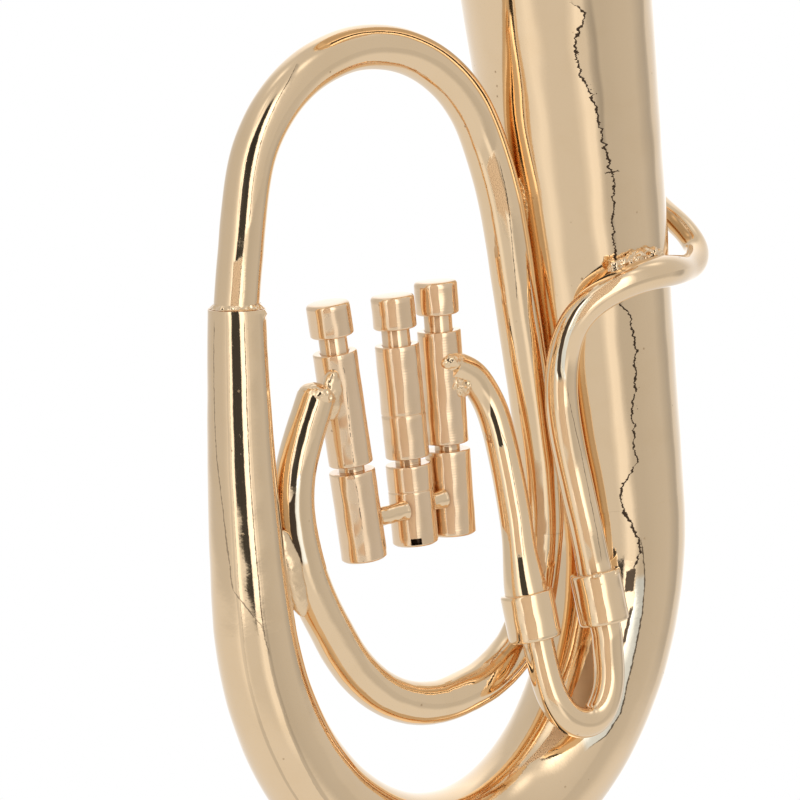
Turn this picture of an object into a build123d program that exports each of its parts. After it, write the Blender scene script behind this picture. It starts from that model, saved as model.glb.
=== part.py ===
from build123d import *
import os
import math

os.makedirs("parts", exist_ok=True)

# Display-size baritone horn in gold-plated brass, standing on its bottom bow.
# Frame: millimetres, origin at the lowest point of the bottom bow, +Z along the
# bell axis, +X towards the bell, +Y towards the player (mouthpiece side).

# ---------------------------------------------------------------- dimensions
HEIGHT = 140.0            # floor to bell rim
WALL = 0.42               # wall of the drawn tubes
BELL_X = 25.71            # bell axis
BELL_WALL = 0.55
BOW_Z = 36.43             # centre height of the elliptical bow
BOW_RX = 25.71
BOW_RZ = 31.48
BOW_RISE = 2.35           # the bell end of the bow sits this much higher
BOW_R_SMALL = 4.40        # outer radius at the branch end
BOW_R_BIG = 8.07          # outer radius at the bell end
BRANCH_TOP = (-22.94, 0.0, 69.22)
BRANCH_KNEE = (-25.71, 0.0, 48.09)
BRANCH_R_TOP = 3.14
LIP_R = 3.19              # rolled ring on the branch mouth
LIP_H = 1.15

BUTTON_R, BUTTON_H = 2.375, 3.7
NECK_R, NECK_H = 1.55, 1.8
CASING_R, CASING_H = 2.40, 12.4
BORE_R = 1.95             # inside of a valve casing
HEAD_R = 1.90             # piston head, 0.05 mm radial clearance
HEAD_H = 5.5
STEM_CLEAR = 0.05
COLLAR_H = 1.0            # top wall of a casing
GROOVE_R, GROOVE_H = 1.40, 0.75
DRUM_R = 2.50
PLUG_H = 1.0
TRAVEL = 1.5

SPRING_R = 1.30
SPRING_WIRE = 0.20
SPRING_TURNS = 5

LEG_R = 1.72              # tuning crook tube
LEG_CLEAR = 0.05
LEG_A = (7.79, -5.60, 30.02)       # on the axis of the inner leg
FERRULE_A = (7.51, -5.60, 30.09)   # the inner ferrule sits a little off its leg
FERRULE_B = (15.69, -7.80, 30.43)  # centre of the outer ferrule, on its leg's axis
SLIDE_DIR = (0.0013, -0.1235, -0.9923)
FERRULE_A_R, FERRULE_A_H = 2.92, 5.3
FERRULE_B_R, FERRULE_B_H = 2.80, 5.8

MOUTH_X, MOUTH_Z = 39.90, 73.80
SHANK_R, SHANK_CLEAR = 1.25, 0.04

# centre lines: x, y, z, outer radius
UPPER_LOOP = [
    (-23.28, 0.00, 67.92, 2.45), (-23.02, 0.00, 69.42, 2.45), (-21.79, -0.30, 75.52, 2.45),
    (-20.49, -0.70, 81.44, 2.45), (-18.89, -0.70, 85.74, 2.45), (-16.21, -0.70, 89.46, 2.45),
    (-12.62, -0.70, 92.32, 2.45), (-8.40, -0.70, 94.11, 2.45), (-3.86, -0.70, 94.71, 2.45),
    (0.69, -0.70, 94.07, 2.45), (4.89, -0.70, 92.23, 2.45), (8.44, -0.70, 89.33, 2.45),
    (11.09, -0.70, 85.59, 2.45), (12.64, -0.70, 81.27, 2.45), (13.30, -1.30, 75.81, 2.45),
    (13.71, -1.50, 68.51, 2.45), (14.15, -1.40, 59.17, 2.42), (14.56, -1.25, 52.33, 2.40),
    (14.75, -1.15, 46.61, 2.40), (14.69, -1.00, 41.86, 2.40)]
LOWER_LOOP = [
    (14.31, -0.80, 37.60, 2.40), (13.71, -0.50, 34.31, 2.40), (12.80, -0.30, 30.94, 2.40),
    (11.50, -0.10, 27.92, 2.40), (9.83, 0.00, 25.73, 2.40), (7.72, 0.00, 24.23, 2.40),
    (4.17, 0.00, 22.72, 2.40), (1.26, 0.00, 22.22, 2.40), (-1.85, 0.00, 22.07, 2.40),
    (-4.86, 0.00, 22.57, 2.40), (-7.63, 0.00, 23.68, 2.40), (-10.12, 0.00, 25.33, 2.40),
    (-12.28, 0.00, 27.54, 2.40), (-14.16, -0.10, 30.27, 2.38), (-16.01, -0.30, 33.94, 2.35),
    (-17.54, -0.40, 37.68, 2.33), (-18.53, -0.50, 41.42, 2.30), (-18.95, -0.50, 45.02, 2.27),
    (-18.94, -0.60, 48.56, 2.23), (-18.39, -0.80, 51.61, 2.20), (-17.34, -1.00, 54.37, 2.17),
    (-16.11, -1.10, 56.69, 2.13), (-14.74, -1.20, 59.12, 2.10)]
PORT_TUBE = [
    (4.91, -1.20, 58.02, 1.78), (6.43, -1.30, 56.95, 1.78), (7.67, -1.50, 55.00, 1.78),
    (8.29, -1.90, 52.91, 1.78), (8.43, -2.50, 50.47, 1.78), (8.37, -3.10, 47.70, 1.78),
    (8.24, -3.70, 44.43, 1.78), (7.99, -4.30, 41.13, 1.80), (7.56, -4.90, 37.93, 1.85),
    (7.50, -5.22, 33.12, 2.35), (7.50, -5.35, 32.13, 2.40)]
LEADPIPE = [
    (15.69, -7.52, 32.71, 1.95), (15.69, -7.37, 33.91, 1.92), (15.54, -7.30, 36.07, 1.87),
    (15.31, -7.00, 39.71, 1.87), (15.16, -6.50, 43.65, 1.87), (14.91, -6.20, 48.18, 1.87),
    (14.85, -6.10, 52.12, 1.85), (15.18, -6.20, 55.42, 1.80), (15.70, -6.90, 58.72, 1.75),
    (16.65, -8.30, 61.64, 1.70), (19.00, -9.60, 63.58, 1.70), (22.31, -11.00, 64.77, 1.75),
    (26.44, -11.35, 64.94, 1.80), (32.50, -8.70, 63.95, 1.55), (36.00, -6.60, 64.20, 1.42),
    (37.48, -5.00, 65.12, 1.36), (37.95, -3.20, 66.58, 1.36), (37.98, -1.00, 68.05, 1.38),
    (38.45, 1.80, 69.40, 1.38), (39.15, 4.80, 71.60, 1.36), (39.75, 7.60, 73.30, 1.35),
    (39.90, 10.00, 73.80, 1.35)]
# bent part of the tuning crook, from the end of one straight leg to the other
CROOK_BEND = [
    (7.70, -6.37, 25.07), (7.68, -6.76, 23.23), (7.82, -7.14, 21.45), (8.25, -7.47, 19.92),
    (9.01, -7.77, 18.63), (9.98, -8.01, 17.76), (11.03, -8.20, 17.34), (12.12, -8.33, 17.34),
    (13.16, -8.40, 17.84), (14.10, -8.41, 18.83), (14.80, -8.41, 20.09), (15.24, -8.39, 21.51),
    (15.47, -8.36, 23.17), (15.60, -8.34, 25.04)]
# valve axes: top of the button, bottom of the drum
VALVES = [
    ((-10.79, 0.0, 68.62), (-9.94, 0.0, 40.12)),
    ((-1.99, 0.0, 67.62), (-2.75, 0.0, 40.12)),
    ((4.15, 0.0, 67.92), (2.59, 0.0, 39.92))]


# ------------------------------------------------------------------- helpers
def V(p):
    return p if isinstance(p, Vector) else Vector(p[0], p[1], p[2])


def cubic(values, knots):
    """Natural cubic through values at knots; returns an evaluator."""
    n = len(values)
    h = [knots[i + 1] - knots[i] for i in range(n - 1)]
    a = [0.0] * n
    b = [1.0] * n
    c = [0.0] * n
    d = [0.0] * n
    for i in range(1, n - 1):
        a[i] = h[i - 1]
        b[i] = 2 * (h[i - 1] + h[i])
        c[i] = h[i]
        d[i] = 6 * ((values[i + 1] - values[i]) / h[i] - (values[i] - values[i - 1]) / h[i - 1])
    for i in range(1, n):
        w = a[i] / b[i - 1]
        b[i] -= w * c[i - 1]
        d[i] -= w * d[i - 1]
    m = [0.0] * n
    m[-1] = d[-1] / b[-1]
    for i in range(n - 2, -1, -1):
        m[i] = (d[i] - c[i] * m[i + 1]) / b[i]

    def at(t):
        i = 0
        while i < n - 2 and t > knots[i + 1]:
            i += 1
        x0, x1, hh = knots[i], knots[i + 1], h[i]
        return (m[i] * (x1 - t) ** 3 / (6 * hh) + m[i + 1] * (t - x0) ** 3 / (6 * hh)
                + (values[i] / hh - m[i] * hh / 6) * (x1 - t)
                + (values[i + 1] / hh - m[i + 1] * hh / 6) * (t - x0))
    return at


def smooth_path(points):
    """Evaluator over chord length for x, y, z and radius, and its length."""
    knots = [0.0]
    for p, q in zip(points, points[1:]):
        knots.append(knots[-1] + math.dist(p[:3], q[:3]))
    fs = [cubic([p[k] for p in points], knots) for k in range(4)]
    return (lambda t: tuple(f(t) for f in fs)), knots[-1]


def stations(at, t0, t1, step):
    n = max(4, int(round((t1 - t0) / step)) + 1)
    return [at(t0 + (t1 - t0) * i / (n - 1)) for i in range(n)]


def tangents(rows):
    out = []
    for i in range(len(rows)):
        p, q = rows[max(0, i - 1)], rows[min(len(rows) - 1, i + 1)]
        out.append((V(q) - V(p)).normalized())
    if len(rows) > 2:
        a, b, c = V(rows[0]), V(rows[1]), V(rows[2])
        out[0] = ((b - a) * 4 - (c - a)).normalized()
        a, b, c = V(rows[-1]), V(rows[-2]), V(rows[-3])
        out[-1] = ((a - b) * 4 - (a - c)).normalized()
    return out


def round_loft(rows, shrink=0.0, over=0.0, ends=None):
    """Solid through circles square to the centre line."""
    tans = tangents(rows)
    if ends:
        tans[0], tans[-1] = ends[0] or tans[0], ends[1] or tans[-1]
    pts = [V(r) for r in rows]
    pts[0] = pts[0] - tans[0] * over
    pts[-1] = pts[-1] + tans[-1] * over
    x = tans[0].cross(Vector(0, 1, 0)).normalized()
    faces = []
    for p, t, r in zip(pts, tans, rows):
        x = (x - t * x.dot(t)).normalized()
        faces.append(Plane(origin=p, x_dir=x, z_dir=t) * Circle(r[3] - shrink))
    return loft(faces)


def tube(rows, wall=WALL, ends=None):
    """Hollow tube and its filled outer shape."""
    outer = round_loft(rows, 0.0, 0.0, ends)
    inner = round_loft(rows, wall, 0.25, ends)
    return outer - inner, outer


def turned(profile, origin, axis, x_hint=(0, 1, 0)):
    """Revolve a closed (radius, height) profile about an axis through origin."""
    z = V(axis).normalized()
    x = V(x_hint)
    x = (x - z * x.dot(z)).normalized()
    wire = Polyline(*[(r, 0, h) for r, h in profile], close=True)
    body = revolve(make_face(wire), Axis.Z, 360)
    return Plane(origin=V(origin), x_dir=x, z_dir=z).location * body


def rod(p, q, r):
    p, q = V(p), V(q)
    d = q - p
    return Plane(origin=p, z_dir=d.normalized()) * Cylinder(r, d.length, align=(Align.CENTER, Align.CENTER, Align.MIN))


def blob(center, axes, direction=(0, 0, 1)):
    """Ellipsoid with half axes, the last one along direction."""
    body = scale(Sphere(1.0), by=axes)
    z = V(direction).normalized()
    x = Vector(0, 1, 0)
    if abs(x.dot(z)) > 0.9:
        x = Vector(1, 0, 0)
    x = (x - z * x.dot(z)).normalized()
    return Plane(origin=V(center), x_dir=x, z_dir=z).location * body


def one_solid(shape):
    """Largest solid of a cut result."""
    s = sorted(shape.solids(), key=lambda b: b.volume)
    return s[-1]


parts = {}

# ---------------------------------------------------------------- bell side
BOW_TOP_Z = BOW_Z + BOW_RISE
bell_outer = [
    (BOW_R_BIG, BOW_TOP_Z), (8.50, 48.7), (8.93, 58.6), (9.36, 68.5), (9.79, 78.5), (10.18, 87.5),
    (10.50, 94.9), (10.93, 102.0), (11.62, 109.0), (12.65, 116.0), (13.95, 121.9), (15.60, 127.0),
    (17.60, 131.1), (20.00, 134.6), (22.30, 137.1), (24.05, 138.75)]
pts_o = [(BELL_X + r, 0, z) for r, z in bell_outer]
inner_pts = []
for i, (r, z) in enumerate(bell_outer):
    a = bell_outer[max(0, i - 1)]
    b = bell_outer[min(len(bell_outer) - 1, i + 1)]
    dr, dz = b[0] - a[0], b[1] - a[1]
    ln = math.hypot(dr, dz)
    if i == 0:
        inner_pts.append((BELL_X + r - BELL_WALL, 0, z))
    else:
        inner_pts.append((BELL_X + r - BELL_WALL * dz / ln, 0, z + BELL_WALL * dr / ln))
so = Spline(*pts_o)
si = Spline(*inner_pts)
bell_face = make_face([so, Line(pts_o[-1], inner_pts[-1]), si, Line(inner_pts[0], pts_o[0])])
bell_axis = Axis((BELL_X, 0, 0), (0, 0, 1))
bell = revolve(bell_face, bell_axis, 360)
parts["bell"] = bell

# rolled wire at the rim, with a narrow flat on top
rim_profile = [
    (23.50, 138.30), (23.75, 137.95), (24.30, 137.80), (24.90, 137.90), (25.35, 138.25), (25.60, 138.75),
    (25.60, 139.20), (25.40, 139.65), (25.05, 139.92), (24.75, HEIGHT), (24.15, HEIGHT), (23.85, 139.90),
    (23.60, 139.60), (23.45, 139.10)]
rim = turned(rim_profile, (BELL_X, 0, 0), (0, 0, 1))
rim = rim - bell
parts["bell_rim_wire"] = one_solid(rim)

# ---------------------------------------------------------------- bottom bow
rows = []
N = 41
for i in range(N):
    s = i / (N - 1)
    th = math.pi + math.pi * s
    rise = BOW_RISE * s * s * (3 - 2 * s)
    r = BOW_R_SMALL + (BOW_R_BIG - BOW_R_SMALL) * s ** 1.09
    rows.append((BOW_RX * math.cos(th), 0.0, BOW_Z + rise + BOW_RZ * math.sin(th), r))
bow, bow_solid = tube(rows, BELL_WALL - 0.05, (Vector(0, 0, -1), Vector(0, 0, 1)))
parts["bottom_bow"] = bow

# -------------------------------------------------------------- outer branch
rows = []
N = 13
start = (-BOW_RX, 0.0, BOW_Z)
for i in range(N):
    s = i / (N - 1)
    p = [(1 - s) ** 2 * start[k] + 2 * s * (1 - s) * BRANCH_KNEE[k] + s * s * BRANCH_TOP[k] for k in range(3)]
    rows.append((p[0], p[1], p[2], BOW_R_SMALL + (BRANCH_R_TOP - BOW_R_SMALL) * s))
branch_dir = (V(BRANCH_TOP) - V(BRANCH_KNEE)).normalized()
branch, branch_solid = tube(rows, WALL, (Vector(0, 0, 1), branch_dir))
parts["outer_branch"] = branch

# ---------------------------------------------------------------- long loop
at_u, len_u = smooth_path(UPPER_LOOP)
rows_u = stations(at_u, 0, len_u, 3.0)
at_l, len_l = smooth_path(LOWER_LOOP)
rows_l = stations(at_l, 0, len_l, 2.6)
joint_u = (V(rows_l[0]) - V(rows_u[-1])).normalized()
seam = rows_l[0]
rows_u[-1] = (seam[0], seam[1], seam[2], seam[3])
upper, upper_solid = tube(rows_u, WALL, (None, joint_u))
lower, lower_solid = tube(rows_l, WALL, (joint_u, None))

# ring rolled on the branch mouth, with a spigot inside the branch
lip = rod(V(BRANCH_TOP), V(BRANCH_TOP) + branch_dir * LIP_H, LIP_R)
spigot = rod(V(BRANCH_TOP) - branch_dir * 1.2, V(BRANCH_TOP) + branch_dir * 0.2, BRANCH_R_TOP - WALL - 0.02)
ring = (lip + spigot) - upper_solid
parts["branch_mouth_ring"] = one_solid(ring)

# ------------------------------------------------------------------- valves
drums = []
casings = []
for n, (top, bottom) in enumerate(VALVES, 1):
    top_v, bottom_v = V(top), V(bottom)
    up = (top_v - bottom_v).normalized()
    length = (top_v - bottom_v).length
    loc = Plane(origin=bottom_v, x_dir=(Vector(0, 1, 0)), z_dir=up).location
    z_button = length - BUTTON_H
    z_case_top = z_button - NECK_H
    z_case_bot = z_case_top - CASING_H
    z_drum_top = z_case_bot - GROOVE_H
    z_head = z_case_top - COLLAR_H

    def rev(profile):
        return loc * revolve(make_face(Polyline(*[(r, 0, h) for r, h in profile], close=True)), Axis.Z, 360)

    # button: low dome, two turned grooves, blind hole for the stem's stub
    button = rev([
        (0, z_button + 1.5), (0.8, z_button + 1.5), (0.8, z_button), (BUTTON_R - 0.12, z_button),
        (BUTTON_R, z_button + 0.12), (BUTTON_R, length - 0.30), (BUTTON_R - 0.10, length - 0.14),
        (BUTTON_R - 0.32, length - 0.05), (0, length)])
    piston = rev([
        (0, z_button + 1.5), (0.8, z_button + 1.5), (0.8, z_button), (NECK_R, z_button),
        (NECK_R, z_head), (HEAD_R, z_head), (HEAD_R, z_head - HEAD_H), (0, z_head - HEAD_H)])
    casing = rev([
        (NECK_R + STEM_CLEAR, z_case_top), (CASING_R - 0.12, z_case_top), (CASING_R, z_case_top - 0.12),
        (CASING_R, z_case_bot + 0.10), (CASING_R - 0.10, z_case_bot), (BORE_R, z_case_bot),
        (BORE_R, z_head), (NECK_R + STEM_CLEAR, z_head)])
    drum = rev([
        (0, z_case_bot + PLUG_H), (BORE_R, z_case_bot + PLUG_H), (BORE_R, z_case_bot), (GROOVE_R, z_case_bot),
        (GROOVE_R, z_drum_top), (DRUM_R - 0.10, z_drum_top), (DRUM_R, z_drum_top - 0.10),
        (DRUM_R, 0.18), (DRUM_R - 0.18, 0), (0, 0)])
    if n == 2:
        slot = loc * Pos(-DRUM_R + 0.15, 0, 0.35) * Box(0.9, 1.15, 0.5)
        drum = drum - slot
    spring_bottom = z_case_bot + PLUG_H
    spring_top = z_head - HEAD_H
    span = spring_top - spring_bottom - 2 * SPRING_WIRE - 0.02
    helix = Helix(pitch=span / SPRING_TURNS, height=span, radius=SPRING_R)
    start_pt = helix @ 0
    spring = sweep(Plane(origin=start_pt, z_dir=(helix % 0)) * Circle(SPRING_WIRE), path=helix, is_frenet=True)
    spring = loc * Pos(0, 0, spring_bottom + SPRING_WIRE + 0.01) * spring
    parts["finger_button_%d" % n] = button
    parts["piston_%d" % n] = piston
    parts["valve_spring_%d" % n] = spring
    casings.append(casing)
    drums.append(drum)

case_cyl = []
drum_cyl = []
for top, bottom in VALVES:
    up = (V(top) - V(bottom)).normalized()
    base = V(bottom)
    length = (V(top) - V(bottom)).length
    zt = length - BUTTON_H - NECK_H
    case_cyl.append(rod(base + up * (zt - CASING_H), base + up * zt, CASING_R))
    drum_cyl.append(rod(base, base + up * (zt - CASING_H - GROOVE_H), DRUM_R))

# the loop's end butts on valve 1, the port tube's on valve 3
lower = one_solid(lower - case_cyl[0])
lower_solid = one_solid(lower_solid - case_cyl[0])
parts["upper_loop_tube"] = upper
parts["lower_loop_tube"] = lower

at_p, len_p = smooth_path(PORT_TUBE)
rows_p = stations(at_p, 0, len_p, 1.9)
slide_dir = V(SLIDE_DIR).normalized()
port, port_solid = tube(rows_p, WALL - 0.02, (None, slide_dir))
port = one_solid(port - case_cyl[2])
port_solid = one_solid(port_solid - case_cyl[2])
parts["valve_3_port_tube"] = port

# knuckles between the lower drums
for n, (a, b) in enumerate(((0, 1), (1, 2)), 1):
    ua = (V(VALVES[a][0]) - V(VALVES[a][1])).normalized()
    ub = (V(VALVES[b][0]) - V(VALVES[b][1])).normalized()
    pa = V(VALVES[a][1]) + ua * 3.9 + Vector(0, -1.15, 0)
    pb = V(VALVES[b][1]) + ub * 4.5 + Vector(0, -1.35, 0)
    link = rod(pa, pb, 1.08)
    link = link - drum_cyl[a] - drum_cyl[b]
    parts["valve_knuckle_%d" % n] = one_solid(link)

for n in range(3):
    parts["valve_casing_%d" % (n + 1)] = casings[n]
    parts["valve_drum_%d" % (n + 1)] = drums[n]

# ------------------------------------------------------ leadpipe and crook
at_lp, len_lp = smooth_path(LEADPIPE)
rows_lp = stations(at_lp, 0, len_lp, 1.9)
lead, lead_solid = tube(rows_lp, WALL, (slide_dir * -1, Vector(0, 1, 0)))
parts["leadpipe"] = lead

fa, fb, leg_a = V(FERRULE_A), V(FERRULE_B), V(LEG_A)
side = Vector(1, 0, 0)
side = (side - slide_dir * side.dot(slide_dir)).normalized()


def ferrule(center, on_leg, r, h, entering):
    half = h / 2
    loc = Plane(origin=center, x_dir=side, z_dir=slide_dir).location
    body = loc * revolve(make_face(Polyline(
        (0, 0, -half), (r - 0.12, 0, -half), (r, 0, -half + 0.12), (r, 0, half - 0.12),
        (r - 0.12, 0, half), (0, 0, half), close=True)), Axis.Z, 360)
    bore = rod(on_leg - slide_dir * (h + 1), on_leg + slide_dir * (h + 1), LEG_R + LEG_CLEAR)
    return one_solid(body - bore - entering)


parts["tuning_ferrule_inner"] = ferrule(fa, leg_a, FERRULE_A_R, FERRULE_A_H, port_solid)
parts["tuning_ferrule_outer"] = ferrule(fb, fb, FERRULE_B_R, FERRULE_B_H, lead_solid)

# crook: a straight leg in each ferrule, one bend between them
top_a = fa + slide_dir * (-FERRULE_A_H / 2 + 0.72)
top_a = leg_a + slide_dir * (top_a - leg_a).dot(slide_dir)
end_a = leg_a + slide_dir * 3.0
top_b = fb + slide_dir * (-FERRULE_B_H / 2 + 0.72)
end_b = fb + slide_dir * 3.3
bend_pts = [(end_a.X, end_a.Y, end_a.Z, LEG_R)]
p = end_a + slide_dir * 0.9
bend_pts.append((p.X, p.Y, p.Z, LEG_R))
bend_pts += [(x, y, z, LEG_R) for x, y, z in CROOK_BEND]
p = end_b + slide_dir * 0.9
bend_pts.append((p.X, p.Y, p.Z, LEG_R))
bend_pts.append((end_b.X, end_b.Y, end_b.Z, LEG_R))
at_c, len_c = smooth_path(bend_pts)
rows_c = stations(at_c, 0, len_c, 1.5)
ends_c = (slide_dir, slide_dir * -1)


def crook_shape(r, over):
    bend = round_loft([(x, y, z, r) for x, y, z, q in rows_c], 0.0, 0.0, ends_c)
    return rod(top_a - slide_dir * over, end_a, r) + bend + rod(end_b, top_b - slide_dir * over, r)


parts["tuning_crook"] = one_solid(crook_shape(LEG_R, 0.0) - crook_shape(LEG_R - 0.36, 0.3))

# ------------------------------------------------- receiver and mouthpiece
recv_profile = [
    (SHANK_R + SHANK_CLEAR, 8.4), (1.78, 8.4), (1.90, 8.52), (1.95, 13.2), (2.25, 13.35),
    (2.32, 13.65), (2.25, 13.95), (2.05, 14.1), (SHANK_R + SHANK_CLEAR, 14.1)]
recv = turned(recv_profile, (MOUTH_X, 0, MOUTH_Z), (0, 1, 0), (1, 0, 0)) - lead_solid
parts["mouthpiece_receiver"] = one_solid(recv)
mouth_profile = [
    (0.80, 10.6), (SHANK_R, 10.6), (SHANK_R, 14.5), (1.42, 15.0), (1.50, 15.6), (1.72, 16.4),
    (2.25, 17.1), (2.95, 17.8), (3.42, 18.7), (3.66, 19.8), (3.78, 21.0), (4.02, 21.6), (4.10, 22.0),
    (4.02, 22.35), (3.80, 22.5), (3.55, 22.45), (3.38, 22.2), (3.30, 21.5), (3.22, 20.4),
    (3.08, 19.3), (2.75, 18.6), (2.10, 18.1), (1.20, 17.75), (0.62, 17.4), (0.55, 16.8)]
parts["mouthpiece"] = turned(mouth_profile, (MOUTH_X, 0, MOUTH_Z), (0, 1, 0), (1, 0, 0))

# ------------------------------------------------------------ solder joints
def solder(shape, *cutters):
    for c in cutters:
        shape = shape - c
    return one_solid(shape)


bell_solid = revolve(make_face([so, Line(pts_o[-1], (BELL_X, 0, pts_o[-1][2])),
                                Line((BELL_X, 0, pts_o[-1][2]), (BELL_X, 0, BOW_TOP_Z)),
                                Line((BELL_X, 0, BOW_TOP_Z), pts_o[0])]), bell_axis, 360)
parts["solder_loop_to_branch"] = solder(
    blob((-20.55, -0.75, 41.2), (0.95, 1.25, 5.6), (-0.12, 0, 1)), lower_solid, branch_solid, bow_solid)
parts["solder_loop_to_bell"] = solder(
    blob((16.75, -0.95, 52.0), (0.85, 1.0, 7.0), (0, 0, 1)), upper_solid, bell_solid)
parts["solder_arch_to_bell"] = solder(
    blob((15.75, -1.05, 73.5), (0.75, 0.95, 3.4), (0, 0, 1)), upper_solid, bell_solid)
parts["solder_leadpipe_to_bell"] = solder(
    blob((25.4, -9.35, 66.3), (1.1, 0.95, 3.4), (1, -0.05, 0.05)), lead_solid, bell_solid)
parts["solder_valve_1_port"] = solder(
    blob((-13.75, -1.5, 59.1), (1.9, 1.4, 1.9), (0.4, 0, 1)), lower_solid, case_cyl[0])
parts["solder_valve_3_port"] = solder(
    blob((6.55, -1.55, 58.6), (1.25, 1.15, 1.5), (-0.3, 0, 1)), port_solid, case_cyl[2])

for name in sorted(parts):
    shape = parts[name]
    solids = shape.solids()
    print("%-26s solids %d valid %s volume %.3f" % (name, len(solids), shape.is_valid, shape.volume))
    export_step(solids[0] if len(solids) == 1 else shape, "parts/%s.step" % name)
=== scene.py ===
import bpy
import bmesh
import math
import numpy as np
from mathutils import Matrix, Vector


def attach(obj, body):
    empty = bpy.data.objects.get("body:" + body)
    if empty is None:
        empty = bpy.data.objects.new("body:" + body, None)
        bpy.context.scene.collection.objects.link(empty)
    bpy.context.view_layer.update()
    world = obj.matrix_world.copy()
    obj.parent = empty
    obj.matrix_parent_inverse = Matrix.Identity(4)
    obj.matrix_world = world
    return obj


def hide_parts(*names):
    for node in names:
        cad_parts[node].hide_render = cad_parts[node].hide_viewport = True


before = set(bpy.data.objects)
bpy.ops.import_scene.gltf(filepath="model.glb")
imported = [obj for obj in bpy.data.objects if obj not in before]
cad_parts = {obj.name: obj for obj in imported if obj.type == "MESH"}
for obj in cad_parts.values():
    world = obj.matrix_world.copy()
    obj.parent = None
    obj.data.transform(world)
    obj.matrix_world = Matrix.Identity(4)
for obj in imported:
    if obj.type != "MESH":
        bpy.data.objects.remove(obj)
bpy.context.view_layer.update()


MM = 0.001
scene = bpy.context.scene
rng = np.random.default_rng(7)

# ------------------------------------------------------------------ dimensions (mm, as in the CAD)
HEIGHT = 140.0
BELL_X = 25.71
BELL_WALL = 0.55
WALL = 0.42
BOW_Z, BOW_RX, BOW_RZ, BOW_RISE = 36.43, 25.71, 31.48, 2.35
BOW_R_SMALL, BOW_R_BIG = 4.40, 8.07
BRANCH_TOP = (-22.94, 0.0, 69.22)
BRANCH_KNEE = (-25.71, 0.0, 48.09)
BRANCH_R_TOP = 3.14
LIP_R, LIP_H = 3.19, 1.15
BUTTON_R, BUTTON_H = 2.375, 3.7
NECK_R, NECK_H = 1.55, 1.8
CASING_R, CASING_H = 2.40, 12.4
BORE_R, HEAD_R, HEAD_H = 1.95, 1.90, 5.5
COLLAR_H = 1.0
GROOVE_R, GROOVE_H = 1.40, 0.75
DRUM_R, PLUG_H = 2.50, 1.0
LEG_R, LEG_CLEAR = 1.72, 0.05
LEG_A = (7.79, -5.60, 30.02)
FERRULE_A = (7.51, -5.60, 30.09)
FERRULE_B = (15.69, -7.80, 30.43)
SLIDE_DIR = (0.0013, -0.1235, -0.9923)
FERRULE_A_R, FERRULE_A_H = 2.92, 5.3
FERRULE_B_R, FERRULE_B_H = 2.80, 5.8
MOUTH_X, MOUTH_Z = 39.90, 73.80
SHANK_R, SHANK_CLEAR = 1.25, 0.04
BELL_OUTER = [
    (8.07, 38.78), (8.50, 48.7), (8.93, 58.6), (9.36, 68.5), (9.79, 78.5), (10.18, 87.5),
    (10.50, 94.9), (10.93, 102.0), (11.62, 109.0), (12.65, 116.0), (13.95, 121.9), (15.60, 127.0),
    (17.60, 131.1), (20.00, 134.6), (22.30, 137.1), (24.05, 138.75)]
UPPER_LOOP = [
    (-23.28, 0.00, 67.92, 2.45), (-23.02, 0.00, 69.42, 2.45), (-21.79, -0.30, 75.52, 2.45),
    (-20.49, -0.70, 81.44, 2.45), (-18.89, -0.70, 85.74, 2.45), (-16.21, -0.70, 89.46, 2.45),
    (-12.62, -0.70, 92.32, 2.45), (-8.40, -0.70, 94.11, 2.45), (-3.86, -0.70, 94.71, 2.45),
    (0.69, -0.70, 94.07, 2.45), (4.89, -0.70, 92.23, 2.45), (8.44, -0.70, 89.33, 2.45),
    (11.09, -0.70, 85.59, 2.45), (12.64, -0.70, 81.27, 2.45), (13.30, -1.30, 75.81, 2.45),
    (13.71, -1.50, 68.51, 2.45), (14.15, -1.40, 59.17, 2.42), (14.56, -1.25, 52.33, 2.40),
    (14.75, -1.15, 46.61, 2.40), (14.69, -1.00, 41.86, 2.40)]
LOWER_LOOP = [
    (14.31, -0.80, 37.60, 2.40), (13.71, -0.50, 34.31, 2.40), (12.80, -0.30, 30.94, 2.40),
    (11.50, -0.10, 27.92, 2.40), (9.83, 0.00, 25.73, 2.40), (7.72, 0.00, 24.23, 2.40),
    (4.17, 0.00, 22.72, 2.40), (1.26, 0.00, 22.22, 2.40), (-1.85, 0.00, 22.07, 2.40),
    (-4.86, 0.00, 22.57, 2.40), (-7.63, 0.00, 23.68, 2.40), (-10.12, 0.00, 25.33, 2.40),
    (-12.28, 0.00, 27.54, 2.40), (-14.16, -0.10, 30.27, 2.38), (-16.01, -0.30, 33.94, 2.35),
    (-17.54, -0.40, 37.68, 2.33), (-18.53, -0.50, 41.42, 2.30), (-18.95, -0.50, 45.02, 2.27),
    (-18.94, -0.60, 48.56, 2.23), (-18.39, -0.80, 51.61, 2.20), (-17.34, -1.00, 54.37, 2.17),
    (-16.11, -1.10, 56.69, 2.13), (-14.74, -1.20, 59.12, 2.10)]
PORT_TUBE = [
    (4.91, -1.20, 58.02, 1.78), (6.43, -1.30, 56.95, 1.78), (7.67, -1.50, 55.00, 1.78),
    (8.29, -1.90, 52.91, 1.78), (8.43, -2.50, 50.47, 1.78), (8.37, -3.10, 47.70, 1.78),
    (8.24, -3.70, 44.43, 1.78), (7.99, -4.30, 41.13, 1.80), (7.56, -4.90, 37.93, 1.85),
    (7.50, -5.22, 33.12, 2.35), (7.50, -5.35, 32.13, 2.40)]
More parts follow.
